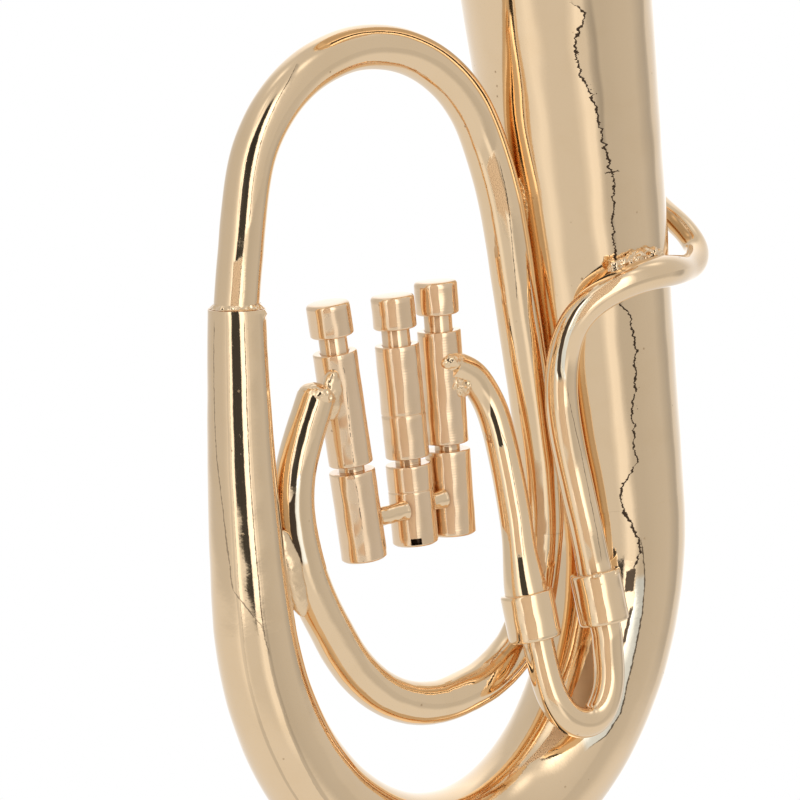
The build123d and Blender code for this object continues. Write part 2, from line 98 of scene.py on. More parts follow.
LEADPIPE = [
    (15.69, -7.52, 32.71, 1.95), (15.69, -7.37, 33.91, 1.92), (15.54, -7.30, 36.07, 1.87),
    (15.31, -7.00, 39.71, 1.87), (15.16, -6.50, 43.65, 1.87), (14.91, -6.20, 48.18, 1.87),
    (14.85, -6.10, 52.12, 1.85), (15.18, -6.20, 55.42, 1.80), (15.70, -6.90, 58.72, 1.75),
    (16.65, -8.30, 61.64, 1.70), (19.00, -9.60, 63.58, 1.70), (22.31, -11.00, 64.77, 1.75),
    (26.44, -11.35, 64.94, 1.80), (32.50, -8.70, 63.95, 1.55), (36.00, -6.60, 64.20, 1.42),
    (37.48, -5.00, 65.12, 1.36), (37.95, -3.20, 66.58, 1.36), (37.98, -1.00, 68.05, 1.38),
    (38.45, 1.80, 69.40, 1.38), (39.15, 4.80, 71.60, 1.36), (39.75, 7.60, 73.30, 1.35),
    (39.90, 10.00, 73.80, 1.35)]
CROOK_BEND = [
    (7.70, -6.37, 25.07), (7.68, -6.76, 23.23), (7.82, -7.14, 21.45), (8.25, -7.47, 19.92),
    (9.01, -7.77, 18.63), (9.98, -8.01, 17.76), (11.03, -8.20, 17.34), (12.12, -8.33, 17.34),
    (13.16, -8.40, 17.84), (14.10, -8.41, 18.83), (14.80, -8.41, 20.09), (15.24, -8.39, 21.51),
    (15.47, -8.36, 23.17), (15.60, -8.34, 25.04)]
VALVES = [
    ((-10.79, 0.0, 68.62), (-9.94, 0.0, 40.12)),
    ((-1.99, 0.0, 67.62), (-2.75, 0.0, 40.12)),
    ((4.15, 0.0, 67.92), (2.59, 0.0, 39.92))]

# the photograph's viewpoint: from the front left, a little above, rolled
VIEW_AZ, VIEW_EL, VIEW_ROLL, VIEW_D = -38.0, 11.5, 6.8, 600.0
VIEW_AT = np.array([-2.59, 0.0, 56.02])
_a, _e, _r = (math.radians(v) for v in (VIEW_AZ, VIEW_EL, VIEW_ROLL))
VB = np.array([math.sin(_a) * math.cos(_e), -math.cos(_a) * math.cos(_e), math.sin(_e)])
_rt = np.array([math.cos(_a), math.sin(_a), 0.0])
_up = np.cross(VB, _rt)
VR = _rt * math.cos(_r) - _up * math.sin(_r)
VU = _rt * math.sin(_r) + _up * math.cos(_r)


# ------------------------------------------------------------------ camera
cam_data = bpy.data.cameras.new("camera")
cam_data.sensor_width = 36.0
cam_data.lens = 250.0
cam_data.clip_start = 0.01
cam_data.clip_end = 50.0
cam = bpy.data.objects.new("camera", cam_data)
scene.collection.objects.link(cam)
m = Matrix.Identity(4)
for k in range(3):
    m[k][0], m[k][1], m[k][2] = VR[k], VU[k], VB[k]
    m[k][3] = (VIEW_AT[k] + VIEW_D * VB[k]) * MM
cam.matrix_world = m
scene.camera = cam
scene.view_settings.view_transform = "Standard"
scene.view_settings.look = "None"


# ------------------------------------------------------------------ maths helpers
def unit(v):
    v = np.asarray(v, float)
    return v / np.linalg.norm(v)


def cubic(values, knots):
    """Natural cubic through values (n x k) at knots; returns a function."""
    y = np.asarray(values, float)
    x = np.asarray(knots, float)
    n = len(x)
    h = np.diff(x)
    A = np.eye(n)
    rhs = np.zeros_like(y)
    for i in range(1, n - 1):
        A[i, i - 1:i + 2] = h[i - 1], 2 * (h[i - 1] + h[i]), h[i]
        rhs[i] = 6 * ((y[i + 1] - y[i]) / h[i] - (y[i] - y[i - 1]) / h[i - 1])
    mm = np.linalg.solve(A, rhs)

    def at(t):
        t = np.asarray(t, float)
        i = np.clip(np.searchsorted(x, t) - 1, 0, n - 2)
        a, b, hh = (x[i + 1] - t)[:, None], (t - x[i])[:, None], h[i][:, None]
        return (mm[i] * a ** 3 + mm[i + 1] * b ** 3) / (6 * hh) + (y[i] / hh - mm[i] * hh / 6) * a + (
            y[i + 1] / hh - mm[i + 1] * hh / 6) * b
    return at


def smooth_rows(points, step):
    p = np.asarray(points, float)
    knots = np.r_[0, np.cumsum(np.linalg.norm(np.diff(p[:, :3], axis=0), axis=1))]
    n = max(8, int(round(knots[-1] / step)) + 1)
    return cubic(p, knots)(np.linspace(0, knots[-1], n))


WAVES = []
for k in range(40):
    d = rng.normal(size=3)
    WAVES.append((d / np.linalg.norm(d), rng.uniform(0, 2 * math.pi), rng.uniform(0.6, 1.6)))


def ripple(P, wavelength, amplitude, phase=0):
    """Smooth uneven surface, about +-amplitude, features near one wavelength (mm)."""
    out = np.zeros(len(P))
    for i in range(14):
        d, ph, f = WAVES[(i + phase * 5) % len(WAVES)]
        out += np.sin((P @ d) * 2 * math.pi * f / wavelength + ph + phase * 1.7)
    return out * amplitude / math.sqrt(14)


def outside(foot, axis, radius):
    """Returns a function that pushes points out of a cylinder."""
    foot, axis = np.asarray(foot, float), unit(axis)

    def push(V):
        d = V - foot
        along = (d @ axis)[:, None] * axis
        out = d - along
        r = np.linalg.norm(out, axis=1)[:, None]
        return np.where(r < radius, foot + along + out / np.maximum(r, 1e-6) * radius, V)
    return push


PIECES = {}


def make_object(name, verts, faces, uvs=None, sharp=38):
    me = bpy.data.meshes.new(name)
    me.from_pydata((np.asarray(verts) * MM).tolist(), [], faces)
    me.validate()
    if uvs is not None:
        layer = me.uv_layers.new(name="metric")
        loops = np.empty(len(me.loops), dtype=np.int32)
        me.loops.foreach_get("vertex_index", loops)
        uv = np.asarray(uvs)[loops] * MM
        layer.data.foreach_set("uv", uv.astype(np.float32).ravel())
    bm = bmesh.new()
    bm.from_mesh(me)
    bmesh.ops.recalc_face_normals(bm, faces=bm.faces)
    bm.to_mesh(me)
    bm.free()
    me.shade_smooth()
    me.set_sharp_from_angle(angle=math.radians(sharp))
    ob = bpy.data.objects.new(name, me)
    scene.collection.objects.link(ob)
    return ob


def settle(ob, body, nodes, mat):
    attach(ob, body)
    if nodes:
        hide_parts(*nodes)
    ob.data.materials.clear()
    ob.data.materials.append(mat)
    PIECES[ob.name] = ob
    return ob


def transport(P, first=None, ends=(None, None)):
    """Tangents and a twist-free side vector along a centre line."""
    T = np.gradient(P, axis=0)
    T /= np.linalg.norm(T, axis=1)[:, None]
    if ends[0] is not None:
        T[0] = unit(ends[0])
    if ends[1] is not None:
        T[-1] = unit(ends[1])
    x = np.asarray(-VB if first is None else first, float)
    X = np.empty_like(P)
    for i in range(len(P)):
        x = x - T[i] * (x @ T[i])
        x /= np.linalg.norm(x)
        X[i] = x
    return T, X, np.cross(T, X)


def tube(name, rows, wall, seg=96, bevel=0.07, ends=(None, None), wave=(0.012, 5.0), wave2=(0.0, 1.0), shape=None,
         keep=None):
    """Closed hollow tube round a centre line; rows are x, y, z, outer radius."""
    rows = np.asarray(rows, float)
    P, R = rows[:, :3], rows[:, 3]
    T, X, Y = transport(P, ends=ends)
    # extra rings for a rounded cut at either end; none where the tube runs on into the next
    b0, b1 = bevel if isinstance(bevel, tuple) else (bevel, bevel)
    idx, off, shr = list(range(len(P))), [None] * len(P), [0.0] * len(P)
    if b0:
        idx, off, shr = [0, 0, 0] + idx, [0.0, b0 * 0.3, b0] + off, [b0, b0 * 0.3, 0.0] + shr
    if b1:
        idx, off, shr = idx + [len(P) - 1] * 3, off + [-b1, -b1 * 0.3, 0.0], shr + [0.0, b1 * 0.3, b1]
    length = np.r_[0, np.cumsum(np.linalg.norm(np.diff(P, axis=0), axis=1))]
    ang = np.linspace(0, 2 * math.pi, seg, endpoint=False)
    ca, sa = np.cos(ang), np.sin(ang)
    verts, uvs = [], []
    rings = 0
    for j, i in enumerate(idx):
        o = off[j]
        if o is None:
            if length[i] < b0 * 1.2 or length[-1] - length[i] < b1 * 1.2:
                continue
            o = 0.0
        N = X[i][None] * ca[:, None] + Y[i][None] * sa[:, None]
        base = P[i] + T[i] * o
        r = R[i] - shr[j]
        V = base + N * r
        d = ripple(V, wave[1], wave[0], 1) + (ripple(V, wave2[1], wave2[0], 2) if wave2[0] else 0)
        if shape is not None:
            d = d + shape(V, N, length[i] + o, ang)
        V = V + N * d[:, None]
        if keep is not None:
            V = keep(V)
        verts.append(V)
        uvs.append(np.stack([ang * 2.0, np.full(seg, length[i] + o)], 1))
        rings += 1
    for i in range(len(P) - 1, -1, -1):
        N = X[i][None] * ca[:, None] + Y[i][None] * sa[:, None]
        V = P[i] + N * (R[i] - wall)
        verts.append(V if keep is None else keep(V))
        uvs.append(np.stack([ang * 2.0, np.full(seg, length[i])], 1))
        rings += 1
    faces = []
    for j in range(rings):
        a, b = j * seg, ((j + 1) % rings) * seg
        for k in range(seg):
            l = (k + 1) % seg
            faces.append((a + k, a + l, b + l, b + k))
    return make_object(name, np.vstack(verts), faces, np.vstack(uvs))


def refine(profile, corner=0.05, steps=3):
    """Rounds the corners of a closed or open profile slightly."""
    out = []
    n = len(profile)
    for i, p in enumerate(profile):
        p = np.asarray(p, float)
        a, b = np.asarray(profile[i - 1], float), np.asarray(profile[(i + 1) % n], float)
        da, db = np.linalg.norm(a - p), np.linalg.norm(b - p)
        if p[0] <= 1e-6 or da < 1e-6 or db < 1e-6:
            out.append(tuple(p))
            continue
        c = min(corner, 0.35 * da, 0.35 * db)
        q0, q1 = p + (a - p) / da * c, p + (b - p) / db * c
        for s in np.linspace(0, 1, steps):
            out.append(tuple((1 - s) ** 2 * q0 + 2 * s * (1 - s) * p + s * s * q1))
    return out


def lathe(name, profile, origin, axis, seg=120, corner=0.06, wave=(0.0, 5.0), x_hint=(0, 1, 0), dense=None, shape=None,
          sharp=38):
    """Closed (radius, height) profile turned about an axis."""
    prof = refine(profile, corner) if corner else [tuple(map(float, q)) for q in profile]
    if dense:
        more = []
        for p, q in zip(prof, prof[1:] + prof[:1]):
            more.append(p)
            ln = math.dist(p, q)
            if p[0] > 1e-6 and q[0] > 1e-6 and ln > dense:
                k = int(ln / dense)
                more += [(p[0] + (q[0] - p[0]) * s / (k + 1), p[1] + (q[1] - p[1]) * s / (k + 1)) for s in range(1, k + 1)]
        prof = more
    z = unit(axis)
    x = np.asarray(x_hint, float)
    x = unit(x - z * (x @ z))
    y = np.cross(z, x)
    o = np.asarray(origin, float)
    ang = np.linspace(0, 2 * math.pi, seg, endpoint=False)
    N = x[None] * np.cos(ang)[:, None] + y[None] * np.sin(ang)[:, None]
    verts, uvs, first = [], [], []
    run = 0.0
    last = None
    for r, h in prof:
        if last is not None:
            run += math.dist(last, (r, h))
        last = (r, h)
        first.append(sum(len(v) for v in verts))
        if r <= 1e-6:
            verts.append((o + z * h)[None])
            uvs.append(np.array([[0.0, run]]))
        else:
            V = o + z * h + N * r
            if wave[0] or shape is not None:
                d = ripple(V, wave[1], wave[0], 3) if wave[0] else 0.0
                if shape is not None:
                    d = d + shape(V, N, h, ang)
                V = V + N * np.reshape(d, (-1, 1))
            verts.append(V)
            uvs.append(np.stack([ang * 2.2, np.full(seg, run)], 1))
    faces = []
    n = len(prof)
    for j in range(n):
        a, b = j, (j + 1) % n
        pa, pb = prof[a][0] <= 1e-6, prof[b][0] <= 1e-6
        if pa and pb:
            continue
        for k in range(seg):
            l = (k + 1) % seg
            if pa:
                faces.append((first[a], first[b] + l, first[b] + k))
            elif pb:
                faces.append((first[a] + k, first[a] + l, first[b]))
            else:
                faces.append((first[a] + k, first[a] + l, first[b] + l, first[b] + k))
    return make_object(name, np.vstack(verts), faces, np.vstack(uvs), sharp)


def solder_blob(name, centre, axes, direction, seed, rough=0.14, fine=0.05, craters=(), lumps=(), sub=6, side=None, keep=None):
    """Frozen smear of solder: an uneven ellipsoid with lumps and small craters."""
    z = unit(direction)
    x = np.asarray((0.0, 1.0, 0.0) if side is None else side, float)
    if abs(x @ z) > 0.9:
        x = np.array([1.0, 0, 0])
    x = unit(x - z * (x @ z))
    y = np.cross(z, x)
    bm = bmesh.new()
    bmesh.ops.create_icosphere(bm, subdivisions=sub, radius=1.0)
    S = np.array([v.co[:] for v in bm.verts])
    faces = [tuple(v.index for v in f.verts) for f in bm.faces]
    bm.free()
    M = np.stack([x * axes[0], y * axes[1], z * axes[2]], 1)
    P = S @ M.T + np.asarray(centre, float)
    nrm = (S / np.asarray(axes)) @ np.stack([x, y, z], 0)
    nrm /= np.linalg.norm(nrm, axis=1)[:, None]
    d = ripple(P, 1.6, rough, seed) + ripple(P, 0.6, rough * 0.4, seed + 1) + ripple(P, 0.25, fine * 0.5, seed + 2)
    for c, r, h in lumps:
        q = np.linalg.norm(P - np.asarray(c, float), axis=1) / r
        d += h * np.exp(-q * q * 2)
    for c, r, h in craters:
        q = np.linalg.norm(P - np.asarray(c, float), axis=1) / r
        d += -h * np.exp(-q ** 4) + 0.35 * h * np.exp(-((q - 1.25) / 0.25) ** 2)
    P = P + nrm * d[:, None]
    if keep is not None:
        P = keep(P)
    return make_object(name, P, faces, P[:, [0, 2]], 60)


# ------------------------------------------------------------------ node material helpers
class Net:
    """Small helper that writes shader nodes left to right."""

    def __init__(self, tree):
        self.t = tree
        self.n = 0

    def node(self, kind, ins=None, **props):
        nd = self.t.nodes.new(kind)
        nd.location = (self.n * 40, -(self.n % 7) * 160)
        self.n += 1
        for k, v in props.items():
            setattr(nd, k, v)
        for k, v in (ins or {}).items():
            self.put(nd.inputs[k], v)
        return nd

    def put(self, socket, v):
        if isinstance(v, bpy.types.NodeSocket):
            self.t.links.new(v, socket)
        else:
            socket.default_value = v

    def math(self, op, a, b=None, c=None, clamp=False):
        nd = self.node("ShaderNodeMath", operation=op, use_clamp=clamp)
        self.put(nd.inputs[0], a)
        if b is not None:
            self.put(nd.inputs[1], b)
        if c is not None:
            self.put(nd.inputs[2], c)
        return nd.outputs[0]

    def vmath(self, op, a, b=None, out=0):
        nd = self.node("ShaderNodeVectorMath", operation=op)
        self.put(nd.inputs[0], a)
        if b is not None:
            self.put(nd.inputs[1], b)
        return nd.outputs[out]

    def noise(self, vec, scale, detail=2.0, rough=0.5, dist=0.0, kind="FBM"):
        nd = self.node("ShaderNodeTexNoise", {"Vector": vec, "Scale": scale, "Detail": detail, "Roughness": rough,
                                               "Distortion": dist}, noise_dimensions="3D")
        return nd.outputs[0]

    def voronoi(self, vec, scale, rand=1.0, feature="F1"):
        nd = self.node("ShaderNodeTexVoronoi", {"Vector": vec, "Scale": scale, "Randomness": rand}, feature=feature)
        return nd.outputs["Distance"]

    def step(self, v, a, b, lo=0.0, hi=1.0, smooth=True):
        nd = self.node("ShaderNodeMapRange", interpolation_type="SMOOTHSTEP" if smooth else "LINEAR")
        for k, x in zip(("Value", "From Min", "From Max", "To Min", "To Max"), (v, a, b, lo, hi)):
            self.put(nd.inputs[k], x)
        return nd.outputs[0]

    def mix(self, fac, a, b, mode="MIX"):
        nd = self.node("ShaderNodeMix", data_type="RGBA", blend_type=mode)
        self.put(nd.inputs["Factor"], fac)
        for i, v in ((6, a), (7, b)):
            if isinstance(v, tuple) and len(v) == 3:
                v = (*v, 1.0)
            self.put(nd.inputs[i], v)
        return nd.outputs[2]


class Front:
    """For a spot of the surface: the direction it mirrors towards the viewpoint of the photograph (degrees right of
    the viewpoint, degrees above the horizon) and its place in millimetres."""

    def __init__(self, n, obj):
        nrm = n.node("ShaderNodeNewGeometry").outputs["Normal"]
        k = n.math("MULTIPLY", n.vmath("DOT_PRODUCT", nrm, tuple(VB), out=1), 2.0)
        sc = n.node("ShaderNodeVectorMath", operation="SCALE")
        n.put(sc.inputs[0], nrm)
        n.put(sc.inputs["Scale"], k)
        r = n.vmath("SUBTRACT", sc.outputs[0], tuple(VB))
        a = math.radians(VIEW_AZ)
        rgt = n.vmath("DOT_PRODUCT", r, (math.cos(a), math.sin(a), 0.0), out=1)
        fwd = n.vmath("DOT_PRODUCT", r, (math.sin(a), -math.cos(a), 0.0), out=1)
        self.az = n.math("MULTIPLY", n.math("ARCTAN2", rgt, fwd), 180 / math.pi)
        self.el = n.math("MULTIPLY", n.math("ARCSINE", n.node("ShaderNodeSeparateXYZ", {"Vector": r}).outputs[2]),
                         180 / math.pi)
        sep = n.node("ShaderNodeSeparateXYZ", {"Vector": obj})
        self.x, self.y, self.z = (n.math("MULTIPLY", sep.outputs[i], 1000.0) for i in range(3))
        self.pos = obj
        self.rag = n.math("SUBTRACT", n.noise(obj, 1000.0 / 1.3, 6.0, 0.78), 0.5)
        self.rag2 = n.math("SUBTRACT", n.noise(obj, 1000.0 / 0.45, 3.0, 0.6), 0.5)

    def band(self, n, v, lo, hi, soft):
        return n.math("MULTIPLY", n.step(v, lo - soft, lo + soft), n.step(v, hi - soft, hi + soft, 1.0, 0.0))


def along(n, v, table):
    """Angle (degrees) read off a table of (mm, degrees)."""
    lo, hi = table[0][0], table[-1][0]
    nd = n.node("ShaderNodeValToRGB", {"Fac": n.math("DIVIDE", n.math("SUBTRACT", v, lo), hi - lo)})
    r = nd.color_ramp
    r.interpolation = "LINEAR"
    while len(r.elements) > 1:
        r.elements.remove(r.elements[-1])
    for i, (a, g) in enumerate(table):
        e = r.elements[0] if i == 0 else r.elements.new((a - lo) / (hi - lo))
        e.position = (a - lo) / (hi - lo)
        k = (g + 180) / 360
        e.color = (k, k, k, 1)
    return n.math("SUBTRACT", n.math("MULTIPLY", nd.outputs[0], 360.0), 180.0)


def painted_reflection_line(n, f, angle, line, width, wander, span=None, soft=0.5):
    """Painted reflection: a ragged dark hair line painted where angle meets line (all degrees), standing in for the
    edge of a mirrored dark band; returns its mask and the signed distance from it.
    """
    d = n.math("SUBTRACT", n.math("ADD", angle, n.math("MULTIPLY", f.rag, wander * 4.0)), line)
    w = n.math("MULTIPLY", n.math("ADD", 1.0, n.math("MULTIPLY", f.rag2, 3.2)), width)
    w = n.math("MAXIMUM", w, width * 0.12)
    m = n.step(n.math("ABSOLUTE", d), n.math("MULTIPLY", w, 1.0 - soft), w, 1.0, 0.0)
    if span is not None:
        m = n.math("MULTIPLY", m, f.band(n, f.z, span[0], span[1], 0.6))
    return m, d


GOLD = (0.900, 0.670, 0.420)
GOLD_DEEP = (0.72, 0.47, 0.215)


def plated(name, rough=0.08, rough_var=0.04, fine=4e-6, fine_mm=0.45, broad=0.0, broad_mm=3.0, pits=0.35, rings=0.0,
           ring_mm=0.25, colour=GOLD, deep=GOLD_DEEP, grain=0.0, seed=0.0, tone_and_shade=0.5, painted_light_and_satin=None, coat=0.8, speck=0.0):
    """Gold plate over cast and drawn brass: small waves and pits in the plate, duller and redder where it is thin;
    painted shade darkens the crevices, and the optional mark function adds painted reflections and highlights.
    """
    m = bpy.data.materials.new(name)
    m.use_nodes = True
    m.node_tree.nodes.clear()
    n = Net(m.node_tree)
    tc = n.node("ShaderNodeTexCoord")
    obj = tc.outputs["Object"]
    pos = n.vmath("ADD", obj, (seed * 0.013, seed * 0.007, -seed * 0.011))
    w1 = n.noise(pos, 1000.0 / fine_mm, 3.0, 0.55, 0.3)
    w2 = n.noise(pos, 1000.0 / (fine_mm * 4.3), 2.0, 0.5, 0.0)
    w3 = n.noise(pos, 1000.0 / broad_mm, 2.0, 0.5, 0.2)
    tint = n.noise(pos, 1000.0 / 5.5, 3.0, 0.6, 0.4)
    spots = n.voronoi(pos, 1000.0 / 1.9)
    spot2 = n.voronoi(pos, 1000.0 / 0.8)
    pit_mask = n.step(spots, 0.045, 0.10, 1.0, 0.0)
    pit_pick = n.step(w2, 0.52, 0.60)
    pit = n.math("MULTIPLY", pit_mask, pit_pick)
    pin = n.math("MULTIPLY", n.step(spot2, 0.05, 0.12, 1.0, 0.0), n.step(w3, 0.5, 0.62))
    # height in metres
    h = n.math("MULTIPLY", w1, fine)
    h = n.math("ADD", h, n.math("MULTIPLY", w2, fine * 2.4))
    if broad:
        h = n.math("ADD", h, n.math("MULTIPLY", w3, broad))
    h = n.math("SUBTRACT", h, n.math("MULTIPLY", pit, fine * 3.0 * pits))
    h = n.math("SUBTRACT", h, n.math("MULTIPLY", pin, fine * 1.2 * pits))
    if rings:
        uv = tc.outputs["UV"]
        sep = n.node("ShaderNodeSeparateXYZ", {"Vector": uv})
        run = n.math("MULTIPLY", sep.outputs[1], 2 * math.pi * 1000.0 / ring_mm)
        turn = n.math("MULTIPLY", n.math("SINE", run), rings)
        r2 = n.node("ShaderNodeTexNoise", {"W": n.math("MULTIPLY", sep.outputs[1], 1000.0 / (ring_mm * 0.8)), "Scale": 1.0,
                                           "Detail": 4.0}, noise_dimensions="1D").outputs[0]
        h = n.math("ADD", h, n.math("ADD", turn, n.math("MULTIPLY", r2, rings * 2.2)))
    if grain:
        g = n.noise(n.vmath("MULTIPLY", pos, (1.0, 1.0, 0.08)), 1000.0 / 0.09, 2.0, 0.6)
        h = n.math("ADD", h, n.math("MULTIPLY", g, grain))
    # ambient occlusion mask of the crevices: drives painted shade in the colour and specks in the bump
    ao = n.node("ShaderNodeAmbientOcclusion", {"Distance": 0.0011}, samples=6, only_local=False)
    crev = n.step(ao.outputs["AO"], 0.35, 0.85, 1.0, 0.0)
    if speck:
        tiny = n.noise(pos, 1000.0 / 0.16, 2.0, 0.5)
        h = n.math("ADD", h, n.math("MULTIPLY", n.math("MULTIPLY", tiny, crev), speck))
    line = painted_dim_reflection = satin = painted_highlight = None
    # the mark function gives painted reflection lines, painted dim reflections, painted highlights and a satin
    # roughness window
    if painted_light_and_satin is not None:
        line, painted_dim_reflection, satin, painted_highlight = painted_light_and_satin(n, Front(n, obj))
    if line is not None:
        h = n.math("SUBTRACT", h, n.math("MULTIPLY", line, 6e-6))
    bump = n.node("ShaderNodeBump", {"Strength": 1.0, "Distance": 1.0, "Height": h})
    r = n.math("ADD", rough, n.math("MULTIPLY", n.math("SUBTRACT", tint, 0.5), rough_var * 2.0))
    r = n.math("ADD", r, n.math("MULTIPLY", pit, 0.25))
    r = n.math("MAXIMUM", n.math("ADD", r, n.math("MULTIPLY", pin, 0.15)), 0.03)
    c = n.mix(n.step(tint, 0.42, 0.78, 0.0, 0.22 * tone_and_shade), colour, deep)
    c = n.mix(n.math("MULTIPLY", pit, 0.55), c, (deep[0] * 0.45, deep[1] * 0.38, deep[2] * 0.3))
    # painted shade: colour goes orange brown in the crevices
    c = n.mix(n.math("MULTIPLY", crev, 0.35 * tone_and_shade), c, (0.33, 0.16, 0.055))
    gloss = coat
    if satin is not None:
        r = n.math("ADD", r, n.math("MULTIPLY", n.math("SUBTRACT", 0.78, r), satin))
        gloss = n.math("MULTIPLY", n.math("SUBTRACT", 1.0, satin), coat)
    # painted reflection: colour darkened where a dimmer reflection is painted
    if painted_dim_reflection is not None:
        c = n.mix(painted_dim_reflection, c, (0.62, 0.62, 0.62), "MULTIPLY")
    # painted highlight: colour lightened towards cream
    if painted_highlight is not None:
        c = n.mix(painted_highlight, c, (1.0, 0.93, 0.76))
    # painted reflection: a dark ragged line in the colour, also duller and less glossy
    if line is not None:
        c = n.mix(n.math("MULTIPLY", line, 0.97), c, (0.035, 0.018, 0.009))
        r = n.math("ADD", r, n.math("MULTIPLY", line, 0.3))
        gloss = n.math("MULTIPLY", gloss, n.math("SUBTRACT", 1.0, n.math("MULTIPLY", line, 0.85)))
    bsdf = n.node("ShaderNodeBsdfPrincipled", {"Base Color": c, "Metallic": 1.0, "Roughness": r, "Coat Weight": gloss,
                                               "Coat Roughness": 0.05, "Coat IOR": 1.5, "Normal": bump.outputs[0]})
    out = n.node("ShaderNodeOutputMaterial")
    m.node_tree.links.new(bsdf.outputs[0], out.inputs[0])
    return m


def window(n, f, lo=-27.0, hi=10.5, floor=-12.0):
    """Where the dark camera opening would be mirrored towards the viewpoint, with a ragged edge."""
    a = n.math("ADD", f.az, n.math("MULTIPLY", f.rag, 9.0))
    return n.math("MULTIPLY", f.band(n, a, lo, hi, 0.8), n.step(f.el, floor - 3.0, floor))


def both(n, a, b):
    return n.math("MAXIMUM", a, b)


# angle round the bell (degrees) of the painted reflection line at each height (mm)
BELL_LINE = [
    (38.8, -32.8), (40.4, -34.8), (41.7, -31.5), (42.5, -26.1), (43.9, -18.6), (45.9, -19.0), (48.15, -18.2),
    (50.4, -17.6), (52.6, -14.5), (54.8, -13.0), (56.4, -9.5), (58.75, -12.1), (60.5, -14.3), (61.8, -18.9),
    (69.65, -19.8), (71.3, -19.5), (73.5, -17.5), (75.7, -16.9), (77.3, -18.1), (79.1, -19.8), (81.4, -21.9),
    (82.8, -23.1), (84.5, -24.7), (85.9, -25.8), (87.7, -31.0), (89.4, -31.9), (91.1, -32.1), (92.65, -29.4),
    (93.4, -25.9), (94.2, -24.3), (95.2, -27.4), (95.8, -32.4)]


def bell_painted_reflections(n, f):
    # painted reflection: a dark ragged line round the bell along BELL_LINE
    psi = n.math("MULTIPLY", n.math("ARCTAN2", n.math("SUBTRACT", f.x, BELL_X), n.math("MULTIPLY", f.y, -1.0)),
                 180 / math.pi)
    jag = n.math("MULTIPLY", n.math("SUBTRACT", n.noise(n.vmath("MULTIPLY", f.pos, (0.25, 0.25, 1.0)), 1000.0 / 0.62, 2.0, 0.6),
                                    0.5), 7.5)
    m, d = painted_reflection_line(n, f, n.math("ADD", psi, jag), along(n, f.z, BELL_LINE), 0.92, 1.5, (37.5, 95.6), 0.35)
    # painted reflection line: one sideways spur, and a few dark specks round the line
    zz = n.math("ABSOLUTE", n.math("SUBTRACT", n.math("ADD", f.z, n.math("MULTIPLY", f.rag2, 0.5)), 76.65))
    spur = n.math("MULTIPLY", n.step(zz, 0.05, 0.12, 1.0, 0.0), f.band(n, d, -5.0, 6.0, 0.8))
    dots = n.math("MULTIPLY", n.step(n.voronoi(f.pos, 1000.0 / 0.55), 0.10, 0.16, 1.0, 0.0), f.band(n, d, 0.0, 4.0, 1.5))
    dots = n.math("MULTIPLY", dots, n.step(n.noise(f.pos, 1000.0 / 3.0, 2.0), 0.5, 0.6))
    # painted dim reflection: the colour is darker to the right of the line
    right = n.math("MULTIPLY", n.step(d, -0.2, 0.6), n.step(f.az, 36.0, 42.0, 1.0, 0.0))
    right = n.math("MULTIPLY", n.math("MULTIPLY", right, f.band(n, f.z, 54.0, 97.0, 4.0)), 0.75)
    return both(n, m, both(n, spur, dots)), right, None, None


